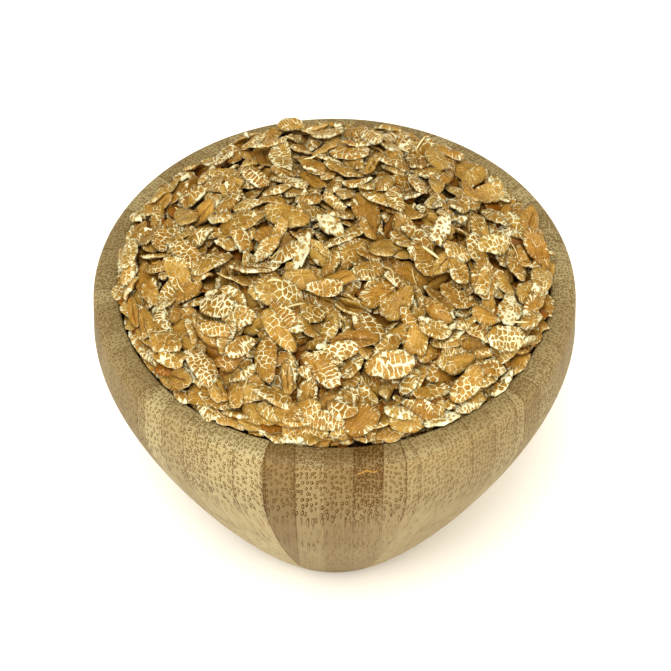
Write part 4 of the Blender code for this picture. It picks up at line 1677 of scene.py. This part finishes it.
class SPELT_OT_studio(bpy.types.Operator):
    """Set up the pale floor, the soft light and the camera"""

    bl_idname = "spelt.studio"
    bl_label = "Studio"

    def execute(self, context):
        looks = context.scene.spelt_studio
        deselect_all()
        bpy.ops.mesh.primitive_plane_add(size=8.0)
        floor = context.object
        floor.name = "studio_floor"
        floor.data.materials.append(floor_material(looks))

        world = bpy.data.worlds.new("studio")
        world.use_nodes = True
        sky = world.node_tree.nodes["Background"]
        feed(sky.inputs["Color"], (1.0, 0.88, 0.67))
        feed(sky.inputs["Strength"], looks.sky)
        context.scene.world = world

        self.add_light("key", looks.key, elevation=66.0, turn=-12.0, width=30.0)
        self.add_light("fill", looks.fill, elevation=28.0, turn=6.0, width=50.0)
        self.add_camera(context.scene)
        context.scene.view_settings.view_transform = "Standard"
        context.scene.view_settings.look = "High Contrast"
        return {"FINISHED"}

    def add_light(self, name, strength, elevation, turn, width):
        """A soft light at an elevation and a turn from the front, filling an angle, in degrees."""
        lamp = bpy.data.lights.new(name, "SUN")
        lamp.energy = strength
        lamp.angle = width * DEGREE
        light = bpy.data.objects.new(name, lamp)
        light.rotation_euler = ((90.0 - elevation) * DEGREE, 0.0, turn * DEGREE)
        bpy.context.scene.collection.objects.link(light)

    def add_camera(self, scene):
        """The camera stands where the photograph was taken from, and turns to frame it alike."""
        lens = bpy.data.cameras.new("camera")
        lens.lens = CAMERA_LENS
        lens.sensor_width = SENSOR_WIDTH
        lens.clip_start = 0.01
        camera = bpy.data.objects.new("camera", lens)
        back = Vector((0.0, -math.cos(CAMERA_ELEVATION), math.sin(CAMERA_ELEVATION)))
        camera.location = Vector((0.0, 0.0, TARGET_HEIGHT)) + CAMERA_DISTANCE * back
        focal = CAMERA_LENS / SENSOR_WIDTH * IMAGE_SIZE
        aside, lower = (math.atan((IMAGE_SIZE / 2 - pixel) / focal) for pixel in TARGET_PIXEL)
        camera.rotation_euler = (math.pi / 2 - CAMERA_ELEVATION - lower, 0.0, -aside)
        scene.collection.objects.link(camera)
        scene.camera = camera


class SPELT_PT_panel(bpy.types.Panel):
    """The bowl's pieces and their settings"""

    bl_label = "Spelt bowl"
    bl_idname = "SPELT_PT_panel"
    bl_space_type = "VIEW_3D"
    bl_region_type = "UI"
    bl_category = "Spelt bowl"

    def draw(self, context):
        for name, (_, operators) in SETTINGS.items():
            looks = getattr(context.scene, name)
            box = self.layout.box()
            for setting in looks.__annotations__:
                box.prop(looks, setting)
            for operator in operators:
                box.operator(operator.bl_idname)


# The settings that a scene keeps, and the operators that read each of them.
SETTINGS = {
    "spelt_bowl": (BowlLooks, (SPELT_OT_bowl,)),
    "spelt_flakes": (
        FlakeLooks,
        (SPELT_OT_core, SPELT_OT_flakes, SPELT_OT_bits, SPELT_OT_crumbs, SPELT_OT_slivers),
    ),
    "spelt_studio": (StudioLooks, (SPELT_OT_studio,)),
}
CLASSES = [
    made for looks, operators in SETTINGS.values() for made in (looks, *operators)
] + [SPELT_PT_panel]


def register():
    """Registers the settings, the operators and the panel."""
    for made in CLASSES:
        bpy.utils.register_class(made)
    for name, (looks, _) in SETTINGS.items():
        setattr(bpy.types.Scene, name, bpy.props.PointerProperty(type=looks))


def unregister():
    """Takes them out again."""
    for name in SETTINGS:
        delattr(bpy.types.Scene, name)
    for made in reversed(CLASSES):
        bpy.utils.unregister_class(made)


def main():
    """Builds every piece in order."""
    register()
    bpy.ops.spelt.bowl()
    bpy.ops.spelt.core()
    bpy.ops.spelt.flakes()
    bpy.ops.spelt.bits()
    bpy.ops.spelt.crumbs()
    bpy.ops.spelt.slivers()
    bpy.ops.spelt.studio()


if __name__ == "__main__":
    main()
